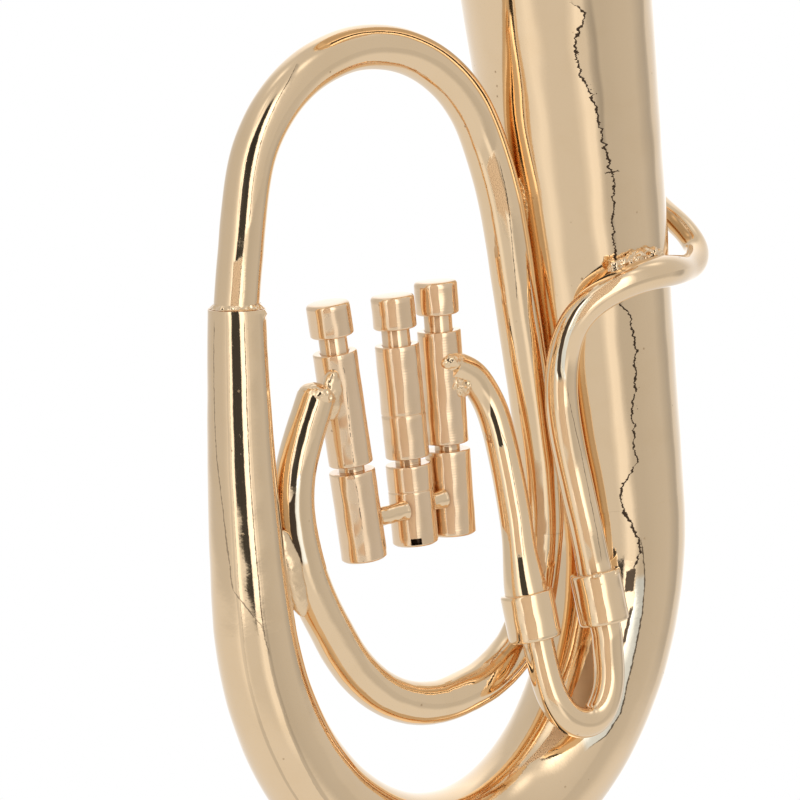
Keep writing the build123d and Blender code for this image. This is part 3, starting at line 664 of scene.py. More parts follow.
def bow_painted_reflections(n, f):
    # painted reflections: dark ragged lines at set mirror angles along the bow
    t = along(n, f.z, [(34.1, 35), (37.4, 26), (39.8, -17), (41.5, -48), (44.65, -56), (51.0, -72), (56.2, -90),
                       (61.45, -100), (69.8, -98)])
    left = n.step(f.x, -15.0, -14.0, 1.0, 0.0)
    m, d = painted_reflection_line(n, f, f.az, t, 2.6, 3.0, (34.3, 69.4))
    m = n.math("MULTIPLY", n.math("MULTIPLY", m, left), 0.55)
    e, d2 = painted_reflection_line(n, f, f.az, 29.5, 1.8, 1.8, (36.0, 69.3))
    e = n.math("MULTIPLY", n.math("MULTIPLY", e, left), 0.85)
    w, d3 = painted_reflection_line(n, f, f.az, -30.0, 1.1, 1.8, (36.0, 69.3))
    w = n.math("MULTIPLY", n.math("MULTIPLY", w, left), 0.45)
    # painted dim reflections beside the edge lines
    painted_dim_reflection = n.math("MULTIPLY", n.math("MULTIPLY", n.step(d2, 0.0, 1.5), n.step(f.az, 37.0, 42.0, 1.0, 0.0)), 0.7)
    painted_dim_reflection_2 = n.math("MULTIPLY", n.math("MULTIPLY", n.step(d3, -1.5, 0.0, 1.0, 0.0), n.step(f.az, -43.0, -38.0)), 0.6)
    # painted reflection line on the thick side of the bow
    r, d4 = painted_reflection_line(n, f, f.az, along(n, f.z, [(13.8, 47), (14.6, 55.6), (16.6, 62), (19.5, 54), (22.6, 49), (26.3, 48),
                                               (28.4, 46), (30.5, 45), (32.5, 40), (35.0, 35)]), 1.7, 1.5, (14.0, 35.0))
    thick = n.step(f.x, 12.0, 13.0)
    r = n.math("MULTIPLY", n.math("MULTIPLY", r, thick), 0.85)
    # painted dark reflection bands and a painted highlight edge on the thick side
    ragz = n.math("ADD", f.z, n.math("MULTIPLY", f.rag, 2.0))
    raga = n.math("ADD", f.az, n.math("MULTIPLY", f.rag, 7.0))
    painted_dark_reflection = n.math("MULTIPLY", f.band(n, raga, 13.0, 27.0, 0.8), f.band(n, ragz, 29.6, 32.0, 0.15))
    painted_dark_reflection = both(n, painted_dark_reflection, n.math("MULTIPLY", f.band(n, raga, 24.0, 29.5, 0.8), f.band(n, ragz, 24.0, 27.6, 0.2)))
    painted_dark_reflection = n.math("MULTIPLY", n.math("MULTIPLY", painted_dark_reflection, thick), 0.95)
    painted_highlight = n.math("MULTIPLY", n.math("MULTIPLY", n.step(raga, 28.0, 30.0), n.step(d4, -1.5, 0.0, 1.0, 0.0)), thick)
    painted_highlight = n.math("MULTIPLY", n.math("MULTIPLY", painted_highlight, f.band(n, f.z, 13.5, 31.0, 0.5)), 0.95)
    # the bell's painted reflection line runs on over the thick end of the bow
    psi = n.math("MULTIPLY", n.math("ARCTAN2", n.math("SUBTRACT", f.x, BELL_X), n.math("MULTIPLY", f.y, -1.0)),
                 180 / math.pi)
    jag = n.math("MULTIPLY", n.math("SUBTRACT", n.noise(n.vmath("MULTIPLY", f.pos, (0.25, 0.25, 1.0)), 1000.0 / 0.62, 2.0, 0.6),
                                    0.5), 7.5)
    h, d5 = painted_reflection_line(n, f, n.math("ADD", psi, jag), along(n, f.z, [(32.0, -31.0), (32.9, -26.0), (34.2, -22.4), (35.6, -23.8),
                                                                  (37.3, -28.3), (38.9, -32.8)]), 1.15, 1.5, (32.0, 39.8), 0.35)
    r = both(n, r, n.math("MULTIPLY", h, thick))
    # murky where the crook and loop stand close over the bow
    satin = n.math("MULTIPLY", n.math("MULTIPLY", n.step(f.x, 2.0, 6.0), n.step(f.z, 29.0, 31.0, 1.0, 0.0)), window(n, f))
    return (both(n, both(n, m, both(n, r, painted_dark_reflection)), both(n, e, w)), n.math("MULTIPLY", both(n, painted_dim_reflection, painted_dim_reflection_2), left), satin,
            painted_highlight)


def loop_painted_reflections(n, f):
    leg = n.math("MULTIPLY", n.step(f.x, 9.5, 10.5), f.band(n, n.math("ADD", f.z, n.math("MULTIPLY", f.rag, 3.0)),
                                                            30.0, 87.0, 0.6))
    foot = n.math("MULTIPLY", n.step(f.x, -20.2, -19.6, 1.0, 0.0),
                  f.band(n, n.math("ADD", f.z, n.math("MULTIPLY", f.rag, 3.5)), 69.0, 76.0, 0.3))
    satin = both(n, n.math("MULTIPLY", foot, window(n, f)), n.math("MULTIPLY", leg, window(n, f, -27.0, 37.0, -9.0)))
    satin = both(n, satin, n.math("MULTIPLY", leg, window(n, f)))
    # painted reflection line on the right leg
    m, d = painted_reflection_line(n, f, f.az, along(n, f.z, [(64.7, 4), (67.5, 13), (70.8, 19), (74.1, 30), (77.4, 40), (80.0, 46)]),
                   2.6, 3.5, (64.5, 79.5))
    m = n.math("MULTIPLY", n.math("MULTIPLY", m, n.step(f.x, 9.5, 10.5)), 0.8)
    # painted reflection lines at the edges of the mirrored dark band
    e, d2 = painted_reflection_line(n, f, f.az, 28.5, 1.8, 2.6, (22.0, 120.0))
    w, d3 = painted_reflection_line(n, f, f.az, -27.0, 1.2, 2.6, (22.0, 120.0))
    off = n.math("SUBTRACT", 1.0, n.step(f.x, 9.0, 10.0))
    edges = n.math("MULTIPLY", n.math("MULTIPLY", both(n, e, n.math("MULTIPLY", w, 0.6)), off), n.step(f.el, -9.0, -5.0))
    patch = n.step(n.noise(f.pos, 1000.0 / 7.0, 2.0), 0.42, 0.52)
    edges = n.math("MULTIPLY", edges, n.math("MULTIPLY", patch, 0.8))
    # painted dim reflection right of the edge line
    painted_dim_reflection = n.math("MULTIPLY", n.math("MULTIPLY", n.step(d2, 0.0, 2.0), n.step(f.az, 38.0, 44.0, 1.0, 0.0)),
                  n.math("MULTIPLY", n.step(f.el, -9.0, -5.0), 0.65))
    # painted reflection: the dark stripe runs on down the lower loop, with a painted highlight edge on its right
    low = n.math("MULTIPLY", n.step(f.x, -15.5, -15.0, 1.0, 0.0), f.band(n, n.math("ADD", f.z, n.math("MULTIPLY", f.rag, 1.2)),
                                                                          42.2, 52.0, 0.3))
    low = n.math("MULTIPLY", low, n.step(f.el, -5.5, -4.0, 1.0, 0.0))
    ra = n.math("ADD", f.az, n.math("MULTIPLY", f.rag, 8.0))
    painted_dark_reflection = n.math("MULTIPLY", n.math("MULTIPLY", low, f.band(n, ra, -27.0, 8.0, 1.5)), 0.97)
    painted_highlight = n.math("MULTIPLY", n.math("MULTIPLY", low, f.band(n, ra, 10.0, 30.0, 2.0)), 0.95)
    return both(n, both(n, m, edges), painted_dark_reflection), painted_dim_reflection, satin, painted_highlight


def port_painted_reflection(n, f):
    z = n.math("ADD", f.z, n.math("MULTIPLY", f.rag, 3.0))
    satin = n.math("MULTIPLY", f.band(n, z, 37.2, 49.0, 0.3), window(n, f, hi=11.0))
    # painted reflection: a dark ragged line along the tube
    m, d = painted_reflection_line(n, f, f.az, along(n, f.z, [(36.6, 22), (40.9, 31), (45.2, 30), (48.5, 39), (50.7, 14)]), 2.8, 4.0,
                   (36.8, 50.5))
    return n.math("MULTIPLY", m, 0.75), None, satin, None


def lead_painted_reflections(n, f):
    satin = window(n, f, -30.0, 12.5)
    # painted reflection line down the straight part
    m, d = painted_reflection_line(n, f, f.az, along(n, f.z, [(34.8, 60), (38.2, 70), (42.7, 77), (47.2, 82), (50.6, 66), (54.0, 40)]), 3.0,
                   4.5, (35.0, 54.0))
    # painted reflection: dark stripe with painted highlight bands on both sides down the inside of the top bend
    a = n.math("ADD", f.az, n.math("MULTIPLY", f.rag, 10.0))
    place = n.math("MULTIPLY", n.step(f.x, 19.5, 20.5, 1.0, 0.0), f.band(n, n.math("ADD", f.z, n.math("MULTIPLY", f.rag, 1.5)),
                                                                          55.3, 64.0, 0.4))
    mid = along(n, f.z, [(54.5, 2), (56.3, -28), (58.4, -42), (60.0, -50), (64.0, -52)])
    off = n.math("SUBTRACT", a, mid)
    painted_dark_reflection = n.math("MULTIPLY", n.math("MULTIPLY", f.band(n, off, -12.0, 11.0, 1.5), place), 0.97)
    painted_highlight = both(n, f.band(n, off, -27.0, -14.0, 2.0), f.band(n, off, 13.0, 38.0, 2.0))
    painted_highlight = n.math("MULTIPLY", n.math("MULTIPLY", painted_highlight, place), 0.97)
    satin = n.math("MULTIPLY", satin, n.math("SUBTRACT", 1.0, painted_dark_reflection))
    return both(n, n.math("MULTIPLY", m, 0.7), painted_dark_reflection), None, satin, painted_highlight


def valve_painted_reflection_and_shade(n, f):
    satin = window(n, f, -30.0, 13.0)
    first = n.step(f.x, -8.0, -7.6, 1.0, 0.0)
    t = along(n, f.z, [(43.8, 11), (48.2, 14), (52.6, 18), (57.0, 25), (61.4, 39), (65.8, 23), (68.0, 33)])
    # painted reflection: a dark ragged line on the first valve
    m, d = painted_reflection_line(n, f, f.az, t, 2.4, 3.0, (43.0, 64.0))
    m = n.math("MULTIPLY", n.math("MULTIPLY", m, first), n.step(n.noise(f.pos, 1000.0 / 0.7, 3.0, 0.7), 0.47, 0.55))
    # painted shade: the slot near the foot of the middle valve is painted dark inside
    r = n.math("POWER", n.math("ADD", n.math("POWER", n.math("ABSOLUTE", n.math("ADD", f.x, 2.73)), 2.0),
                               n.math("POWER", n.math("ABSOLUTE", f.y), 2.0)), 0.5)
    painted_slot_shade = n.math("MULTIPLY", n.step(r, DRUM_R - 0.40, DRUM_R - 0.12, 1.0, 0.0), n.step(f.z, 40.32, 40.40))
    painted_slot_shade = n.math("MULTIPLY", painted_slot_shade, n.step(f.z, 41.15, 41.25, 1.0, 0.0))
    return both(n, n.math("MULTIPLY", m, 0.8), painted_slot_shade), None, satin, None


def plain_marks(n, f):
    return None, None, window(n, f, -30.0, 13.0), None


tube_gold = plated("tube_gold", rough=0.055, rough_var=0.03, fine=5.0e-6, fine_mm=0.5, broad=3e-6, broad_mm=3.2, seed=1,
                   painted_light_and_satin=loop_painted_reflections, speck=1.2e-5)
port_gold = plated("port_gold", rough=0.06, rough_var=0.03, fine=5.0e-6, fine_mm=0.5, broad=3e-6, broad_mm=3.2, seed=3,
                   painted_light_and_satin=port_painted_reflection, speck=1.2e-5)
lead_gold = plated("lead_gold", rough=0.065, rough_var=0.03, fine=4.0e-6, fine_mm=0.5, broad=3e-6, broad_mm=3.2, seed=10,
                   painted_light_and_satin=lead_painted_reflections, speck=1.2e-5)
crook_gold = plated("crook_gold", rough=0.07, rough_var=0.03, fine=3.5e-6, fine_mm=0.5, broad=3e-6, broad_mm=3.2, seed=11,
                    painted_light_and_satin=plain_marks, speck=1.2e-5)
bow_gold = plated("bow_gold", rough=0.055, rough_var=0.03, fine=4.6e-6, fine_mm=0.5, broad=3e-6, broad_mm=3.2, seed=2,
                  painted_light_and_satin=bow_painted_reflections, speck=1.2e-5)
bell_gold = plated("bell_gold", rough=0.07, rough_var=0.03, fine=2.4e-6, fine_mm=0.5, broad=3e-6, broad_mm=3.2, seed=2,
                   painted_light_and_satin=bell_painted_reflections, speck=1.2e-5)
rim_gold = plated("rim_gold", rough=0.14, rough_var=0.04, fine=2.6e-6, fine_mm=0.4, seed=4)
VALVE = (0.900, 0.662, 0.430)
valve_gold = plated("valve_gold", rough=0.16, rough_var=0.05, fine=3.0e-6, fine_mm=0.35, rings=0.8e-6, ring_mm=0.3, seed=5,
                    tone_and_shade=0.8, colour=VALVE, painted_light_and_satin=valve_painted_reflection_and_shade, speck=8e-6)
button_gold = plated("button_gold", rough=0.12, rough_var=0.05, fine=2.6e-6, fine_mm=0.35, rings=0.5e-6, ring_mm=0.3,
                     seed=6, tone_and_shade=0.8, colour=VALVE, painted_light_and_satin=plain_marks)
ferrule_gold = plated("ferrule_gold", rough=0.10, rough_var=0.04, fine=2.6e-6, fine_mm=0.35, rings=0.4e-6, ring_mm=0.3,
                      seed=7, tone_and_shade=0.8, painted_light_and_satin=plain_marks)
solder_gold = plated("solder_gold", rough=0.05, rough_var=0.03, fine=4e-6, fine_mm=0.3, broad=1.2e-5, broad_mm=0.9,
                     pits=0.8, seed=8, tone_and_shade=0.9)
web_gold = plated("web_gold", rough=0.26, rough_var=0.08, fine=4e-6, fine_mm=0.3, broad=1e-5, broad_mm=1.2, pits=1.0,
                  seed=13, tone_and_shade=0.8)
seam_gold = plated("seam_gold", rough=0.06, rough_var=0.03, fine=4e-6, fine_mm=0.5, broad=8e-6, broad_mm=1.6, pits=0.5,
                   seed=12, tone_and_shade=0.6)
mouth_gold = plated("mouth_gold", rough=0.09, rough_var=0.04, fine=1.8e-6, fine_mm=0.4, rings=0.4e-6, ring_mm=0.3, seed=9)


def steel_wire(name):
    m = bpy.data.materials.new(name)
    m.use_nodes = True
    m.node_tree.nodes.clear()
    n = Net(m.node_tree)
    tc = n.node("ShaderNodeTexCoord")
    a = n.noise(tc.outputs["Object"], 1000.0 / 0.12, 3.0, 0.6)
    b = n.noise(tc.outputs["Object"], 1000.0 / 1.5, 2.0, 0.5)
    bump = n.node("ShaderNodeBump", {"Strength": 1.0, "Distance": 1.0, "Height": n.math("MULTIPLY", a, 2e-6)})
    c = n.mix(n.step(b, 0.4, 0.7, 0.0, 0.6), (0.55, 0.56, 0.57), (0.36, 0.34, 0.31))
    bsdf = n.node("ShaderNodeBsdfPrincipled", {"Base Color": c, "Metallic": 1.0, "Normal": bump.outputs[0],
                                               "Roughness": n.math("ADD", 0.24, n.math("MULTIPLY", b, 0.15))})
    out = n.node("ShaderNodeOutputMaterial")
    m.node_tree.links.new(bsdf.outputs[0], out.inputs[0])
    return m


spring_steel = steel_wire("spring_steel")

# ------------------------------------------------------------------ bell, bow, branch
_p = np.array([(r, z) for r, z in BELL_OUTER])
_k = np.r_[0, np.cumsum(np.linalg.norm(np.diff(_p, axis=0), axis=1))]
_t = np.linspace(0, _k[-1], 220)
_out = cubic(_p, _k)(_t)
_d = np.gradient(_out, axis=0)
_d[0] = (0.0, 1.0)
_d /= np.linalg.norm(_d, axis=1)[:, None]
_in = _out + np.stack([-_d[:, 1], _d[:, 0]], 1) * BELL_WALL
bell_prof = [tuple(q) for q in _out] + [tuple(q) for q in _in[::-1]]
bell = lathe("bell_body", bell_prof, (BELL_X, 0, 0), (0, 0, 1), seg=384, corner=0, wave=(0.014, 6.0), x_hint=(1, 0, 0))
settle(bell, "horn", ["bell"], bell_gold)

rim_prof = [
    (23.50, 138.30), (23.75, 137.95), (24.30, 137.80), (24.90, 137.90), (25.35, 138.25), (25.60, 138.75),
    (25.60, 139.20), (25.40, 139.65), (25.05, 139.92), (24.75, HEIGHT), (24.15, HEIGHT), (23.85, 139.90),
    (23.60, 139.60), (23.45, 139.10)]
rim = lathe("bell_rim_wire_roll", rim_prof, (BELL_X, 0, 0), (0, 0, 1), seg=384, corner=0.3, x_hint=(1, 0, 0))
settle(rim, "horn", ["bell_rim_wire"], rim_gold)

rows = []
for s in np.r_[np.linspace(0, 0.03, 14)[:-1], np.linspace(0.03, 0.97, 150), np.linspace(0.97, 1, 14)[1:]]:
    th = math.pi + math.pi * s
    rise = BOW_RISE * s * s * (3 - 2 * s)
    rows.append((BOW_RX * math.cos(th), 0.0, BOW_Z + rise + BOW_RZ * math.sin(th),
                 BOW_R_SMALL + (BOW_R_BIG - BOW_R_SMALL) * s ** 1.09))
bow = tube("bottom_bow_tube", rows, BELL_WALL - 0.05, seg=192, bevel=0, ends=((0, 0, -1), (0, 0, 1)), wave=(0.014, 6.0))
settle(bow, "horn", ["bottom_bow"], bow_gold)

rows = []
for s in np.r_[np.linspace(0, 0.04, 12)[:-1], np.linspace(0.04, 1, 70)]:
    p = [(1 - s) ** 2 * a + 2 * s * (1 - s) * b + s * s * c
         for a, b, c in zip((-BOW_RX, 0.0, BOW_Z), BRANCH_KNEE, BRANCH_TOP)]
    rows.append((*p, BOW_R_SMALL + (BRANCH_R_TOP - BOW_R_SMALL) * s))
branch_dir = unit(np.array(BRANCH_TOP) - np.array(BRANCH_KNEE))
rows += [(*(np.array(BRANCH_TOP) + branch_dir * h), BRANCH_R_TOP - 0.03 * h) for h in (0.35, 0.7, LIP_H)]
BURR = np.array([-21.30, -2.85, 69.75])


def burr(V, N, run, ang):
    return 0.42 * np.exp(-(np.linalg.norm(V - BURR, axis=1) / 0.32) ** 2)


branch = tube("outer_branch_tube", rows, WALL, seg=192, bevel=(0, 0.05), ends=((0, 0, 1), branch_dir), wave=(0.014, 6.0),
              shape=burr)
settle(branch, "horn", ["outer_branch"], bow_gold)

def lip_shape(V, N, h, ang):
    return ripple(V, 0.9, 0.09, 4) if h > LIP_H + 0.02 else ripple(V, 2.4, 0.01, 3)


ring_prof = [(2.47, -1.2), (2.66, -1.2), (2.66, LIP_H - 0.02), (2.92, LIP_H + 0.04), (2.76, LIP_H + 0.14),
             (2.64, LIP_H + 0.36), (2.47, LIP_H + 0.58)]
ring = lathe("branch_mouth_lip", ring_prof, BRANCH_TOP, branch_dir, seg=192, corner=0.03, dense=0.12, shape=lip_shape)
settle(ring, "horn", ["branch_mouth_ring"], seam_gold)

# ------------------------------------------------------------------ loop, port tube, leadpipe, crook
rows_u = smooth_rows(UPPER_LOOP, 0.5)
rows_l = smooth_rows(LOWER_LOOP, 0.5)
joint = unit(rows_l[0, :3] - rows_u[-1, :3])
both = np.vstack([np.array(UPPER_LOOP), np.array(LOWER_LOOP)])
rows_both = smooth_rows(both, 0.5)
cut = int(np.argmin(np.linalg.norm(rows_both[:, :3] - np.array(LOWER_LOOP[0][:3]), axis=1)))
rows_u, rows_l = rows_both[:cut + 1], rows_both[cut:]
upper = tube("upper_loop_bent_tube", rows_u, WALL, bevel=0)
settle(upper, "horn", ["upper_loop_tube"], tube_gold)
lower = tube("lower_loop_bent_tube", rows_l, WALL, bevel=(0, 0.05), wave2=(0.006, 1.1))
settle(lower, "horn", ["lower_loop_tube"], tube_gold)
slide = unit(SLIDE_DIR)
_v1, _v3 = VALVES[0], VALVES[2]
clear_1 = outside(_v1[1], np.array(_v1[0]) - np.array(_v1[1]), 2.2)
clear_3 = outside(_v3[1], np.array(_v3[0]) - np.array(_v3[1]), 2.2)
start = [(3.75, -1.28, 58.70, 1.74)]
port = tube("port_bent_tube", smooth_rows(start + PORT_TUBE, 0.4), WALL - 0.02, bevel=0.05, ends=(None, slide),
            keep=clear_3)
settle(port, "horn", ["valve_3_port_tube"], port_gold)
lead = tube("leadpipe_bent_tube", smooth_rows(LEADPIPE, 0.35), WALL, bevel=0.05, ends=(-slide, (0, 1, 0)))
settle(lead, "horn", ["leadpipe"], lead_gold)

fa, fb, leg_a = np.array(FERRULE_A), np.array(FERRULE_B), np.array(LEG_A)
end_a = leg_a + slide * 3.0
end_b = fb + slide * 3.3
top_a = fa + slide * (-FERRULE_A_H / 2 + 0.72)
top_a = leg_a + slide * ((top_a - leg_a) @ slide)
top_b = fb + slide * (-FERRULE_B_H / 2 + 0.72)
pts = [(*end_a, LEG_R), (*(end_a + slide * 0.9), LEG_R)] + [(*q, LEG_R) for q in CROOK_BEND] + [
    (*(end_b + slide * 0.9), LEG_R), (*end_b, LEG_R)]
bend = smooth_rows(pts, 0.3)
leg1 = [(*(top_a + (end_a - top_a) * s), LEG_R) for s in np.linspace(0, 1, 14)[:-1]]
leg2 = [(*(end_b + (top_b - end_b) * s), LEG_R) for s in np.linspace(0, 1, 14)[1:]]
crook = tube("tuning_crook_tube", np.vstack([leg1, bend, leg2]), 0.36, bevel=0.08, ends=(slide, -slide), wave=(0.006, 5.0))
settle(crook, "crook", ["tuning_crook"], crook_gold)


def ferrule(name, node, centre, on_leg, r, h):
    side = np.array([1.0, 0, 0])
    side = unit(side - slide * (side @ slide))
    other = np.cross(slide, side)
    seg = 128
    ang = np.linspace(0, 2 * math.pi, seg, endpoint=False)
    N = side[None] * np.cos(ang)[:, None] + other[None] * np.sin(ang)[:, None]
    half = h / 2
    outer = [(r - 0.34, -half), (r - 0.16, -half + 0.03), (r - 0.05, -half + 0.12), (r, -half + 0.26)]
    outer += [(r, v) for v in np.linspace(-half + 0.5, half - 0.5, 24)]
    outer += [(r, half - 0.26), (r - 0.05, half - 0.12), (r - 0.16, half - 0.03), (r - 0.34, half)]
    verts, uvs = [], []
    for rr, v in outer:
        P = centre + slide * v + N * rr
        P = P + N * ripple(P, 2.6, 0.008, 6)[:, None]
        verts.append(P)
        uvs.append(np.stack([ang * 2.8, np.full(seg, v + half)], 1))
    bore = LEG_R + LEG_CLEAR
    foot = on_leg + slide * ((centre - on_leg) @ slide)
    for rr, v in [(bore + 0.14, half), (bore + 0.04, half - 0.03), (bore, half - 0.14), (bore, -half + 0.14),
                  (bore + 0.04, -half + 0.03), (bore + 0.14, -half)]:
        verts.append(foot + slide * v + N * rr)
        uvs.append(np.stack([ang * 2.8, np.full(seg, half - v)], 1))
    faces = []
    rings = len(verts)
    for j in range(rings):
        a, b = j * seg, ((j + 1) % rings) * seg
        for k in range(seg):
            l = (k + 1) % seg
            faces.append((a + k, a + l, b + l, b + k))
    ob = make_object(name, np.vstack(verts), faces, np.vstack(uvs))
    return settle(ob, "horn", [node], ferrule_gold)


ferrule("inner_ferrule_sleeve", "tuning_ferrule_inner", fa, leg_a, FERRULE_A_R, FERRULE_A_H)
ferrule("outer_ferrule_sleeve", "tuning_ferrule_outer", fb, fb, FERRULE_B_R, FERRULE_B_H)

# ------------------------------------------------------------------ valves
for n, (top, bottom) in enumerate(VALVES, 1):
    top_v, bot_v = np.array(top), np.array(bottom)
    up = unit(top_v - bot_v)
    length = float(np.linalg.norm(top_v - bot_v))
    z_button = length - BUTTON_H
    z_ct = z_button - NECK_H
    z_cb = z_ct - CASING_H
    z_dt = z_cb - GROOVE_H
    z_head = z_ct - COLLAR_H
    prof = [(0, z_button + 1.5), (0.8, z_button + 1.5), (0.8, z_button), (BUTTON_R - 0.14, z_button),
            (BUTTON_R, z_button + 0.16), (BUTTON_R, length - 0.46), (BUTTON_R - 0.08, length - 0.25),
            (BUTTON_R - 0.26, length - 0.11), (BUTTON_R - 0.60, length - 0.05), (1.0, length - 0.01), (0, length)]
    ob = lathe("button_%d_cap" % n, prof, bottom, up, seg=144, corner=0.07, wave=(0.012, 2.5), dense=0.3)
    settle(ob, "piston_%d" % n, ["finger_button_%d" % n], button_gold)
    prof = [(0, z_button + 1.5), (0.8, z_button + 1.5), (0.8, z_button), (NECK_R, z_button), (NECK_R, z_head),
            (HEAD_R, z_head), (HEAD_R, z_head - HEAD_H), (0, z_head - HEAD_H)]
    ob = lathe("piston_%d_stem" % n, prof, bottom, up, seg=96, corner=0.05)
    settle(ob, "piston_%d" % n, ["piston_%d" % n], valve_gold)
    scribe = [(CASING_R, 14.52), (CASING_R - 0.07, 14.45), (CASING_R - 0.07, 14.38), (CASING_R, 14.31)] if n == 2 else []
    prof = [(NECK_R + 0.05, z_ct), (CASING_R - 0.10, z_ct), (CASING_R, z_ct - 0.10)] + scribe + [
        (CASING_R, z_cb + 0.10), (CASING_R - 0.10, z_cb), (BORE_R, z_cb), (BORE_R, z_head), (NECK_R + 0.05, z_head)]
    ob = lathe("casing_%d_shell" % n, prof, bottom, up, seg=144, corner=0.06, wave=(0.012, 2.5), dense=0.35)
    settle(ob, "horn", ["valve_casing_%d" % n], valve_gold)
    scribe = [(DRUM_R, 6.07), (DRUM_R - 0.06, 6.01), (DRUM_R - 0.06, 5.95), (DRUM_R, 5.89)] if n == 2 else []
    prof = [(0, z_cb + PLUG_H), (BORE_R - 0.01, z_cb + PLUG_H), (BORE_R - 0.01, z_cb), (GROOVE_R, z_cb),
            (GROOVE_R, z_dt), (DRUM_R - 0.10, z_dt), (DRUM_R, z_dt - 0.10)] + scribe + [
        (DRUM_R, 0.20), (DRUM_R - 0.20, 0), (0, 0)]
    slot = None
    if n == 2:
        hint = np.array([0.59, 0.81, 0.0])
        hint = unit(hint - up * (hint @ up))

        def slot(V, N, h, ang, hint=hint, up=up):
            # short slot cut in from the left near the foot of the drum
            across = N @ np.cross(up, hint) * DRUM_R
            hit = (np.abs(across) < 0.58) & (N @ hint < 0) & (0.36 < h < 0.88)
            return np.where(hit, -0.55, 0.0)
    ob = lathe("drum_%d_body" % n, prof, bottom, up, seg=288 if n == 2 else 144, corner=0.05, wave=(0.012, 2.5),
               dense=0.12 if n == 2 else 0.35, shape=slot)
    settle(ob, "horn", ["valve_drum_%d" % n], valve_gold)

for n in (1, 2, 3):
    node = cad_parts["valve_spring_%d" % n]
    node.data.materials.clear()
    node.data.materials.append(spring_steel)

for n, (a, b) in enumerate(((0, 1), (1, 2)), 1):
    ua = unit(np.array(VALVES[a][0]) - np.array(VALVES[a][1]))
    ub = unit(np.array(VALVES[b][0]) - np.array(VALVES[b][1]))
    pa = np.array(VALVES[a][1]) + ua * 4.35 + np.array([0, -1.15, 0])
    pb = np.array(VALVES[b][1]) + ub * (4.15 if n == 1 else 4.4) + np.array([0, -1.15, 0])
    L = float(np.linalg.norm(pb - pa))
    stop = L - 1.95
    prof = [(0, 1.2)]
    for s in np.linspace(1.2, stop - 0.25, 40):
        e = min(s - 1.2, stop - s)
        prof.append((1.02 + 0.25 * math.exp(-e / 0.25), s))
    prof += [(1.12, stop - 0.1), (0.8, stop), (0, stop + 0.03)]
    ob = lathe("knuckle_%d_link" % n, prof, pa, pb - pa, seg=96, corner=0, wave=(0.03, 1.6))
    settle(ob, "horn", ["valve_knuckle_%d" % n], seam_gold)

# ------------------------------------------------------------------ receiver and mouthpiece
prof = [(SHANK_R + SHANK_CLEAR, 8.4), (1.78, 8.4), (1.90, 8.52), (1.95, 13.2), (2.25, 13.35),
        (2.32, 13.65), (2.25, 13.95), (2.05, 14.1), (SHANK_R + SHANK_CLEAR, 14.1)]
ob = lathe("receiver_sleeve", prof, (MOUTH_X, 0, MOUTH_Z), (0, 1, 0), seg=128, corner=0.06, x_hint=(1, 0, 0))
settle(ob, "horn", ["mouthpiece_receiver"], ferrule_gold)
prof = [(0.80, 10.6), (SHANK_R, 10.6), (SHANK_R, 14.5), (1.42, 15.0), (1.50, 15.6), (1.72, 16.4),
        (2.25, 17.1), (2.95, 17.8), (3.42, 18.7), (3.66, 19.8), (3.78, 21.0), (4.02, 21.6), (4.10, 22.0),
        (4.02, 22.35), (3.80, 22.5), (3.55, 22.45), (3.38, 22.2), (3.30, 21.5), (3.22, 20.4),
        (3.08, 19.3), (2.75, 18.6), (2.10, 18.1), (1.20, 17.75), (0.62, 17.4), (0.55, 16.8)]
ob = lathe("mouthpiece_turned", prof, (MOUTH_X, 0, MOUTH_Z), (0, 1, 0), seg=160, corner=0.3, x_hint=(1, 0, 0))
settle(ob, "mouthpiece", ["mouthpiece"], mouth_gold)

# ------------------------------------------------------------------ solder
ob = solder_blob("solder_branch_seam", (-20.75, -1.35, 41.2), (0.95, 1.5, 5.0), (-0.14, 0, 1), 1, rough=0.02, fine=0.002,
                 lumps=(((-20.6, -2.2, 42.2), 1.5, 0.15),))
settle(ob, "horn", ["solder_loop_to_branch"], web_gold)
ob = solder_blob("solder_branch_web", (-20.25, -1.15, 38.9), (0.85, 1.55, 2.0), (0.12, 0, 1), 11, rough=0.02, fine=0.002,
                 side=(0, 1, 0))
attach(ob, "horn")
ob.data.materials.clear()
ob.data.materials.append(web_gold)
ob = solder_blob("solder_bell_seam", (16.75, -0.95, 52.0), (1.0, 0.85, 7.0), (0, 0, 1), 2, rough=0.05, fine=0.01)
settle(ob, "horn", ["solder_loop_to_bell"], seam_gold)
ob = solder_blob("solder_arch_seam", (15.75, -1.05, 73.5), (0.95, 0.75, 3.4), (0, 0, 1), 3, rough=0.08, fine=0.02,
                 lumps=(((15.9, -1.3, 76.6), 0.7, 0.25), ((15.7, -1.2, 70.9), 0.6, 0.2)))
settle(ob, "horn", ["solder_arch_to_bell"], seam_gold)
ob = solder_blob("solder_leadpipe_seam", (24.6, -9.65, 66.35), (0.95, 1.1, 4.3), (1, 0.06, 0.03), 4, rough=0.15, fine=0.05,
                 lumps=(((24.8, -10.2, 67.2), 0.7, 0.40), ((27.2, -10.1, 67.2), 0.6, 0.30), ((22.2, -8.9, 66.9), 0.6, 0.3)),
                 craters=(((23.6, -10.4, 66.9), 0.45, 0.35), ((26.0, -10.5, 66.8), 0.5, 0.35)))
settle(ob, "horn", ["solder_leadpipe_to_bell"], solder_gold)


def spare(ob, mat):
    """A second piece of the same joint."""
    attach(ob, "horn")
    ob.data.materials.clear()
    ob.data.materials.append(mat)


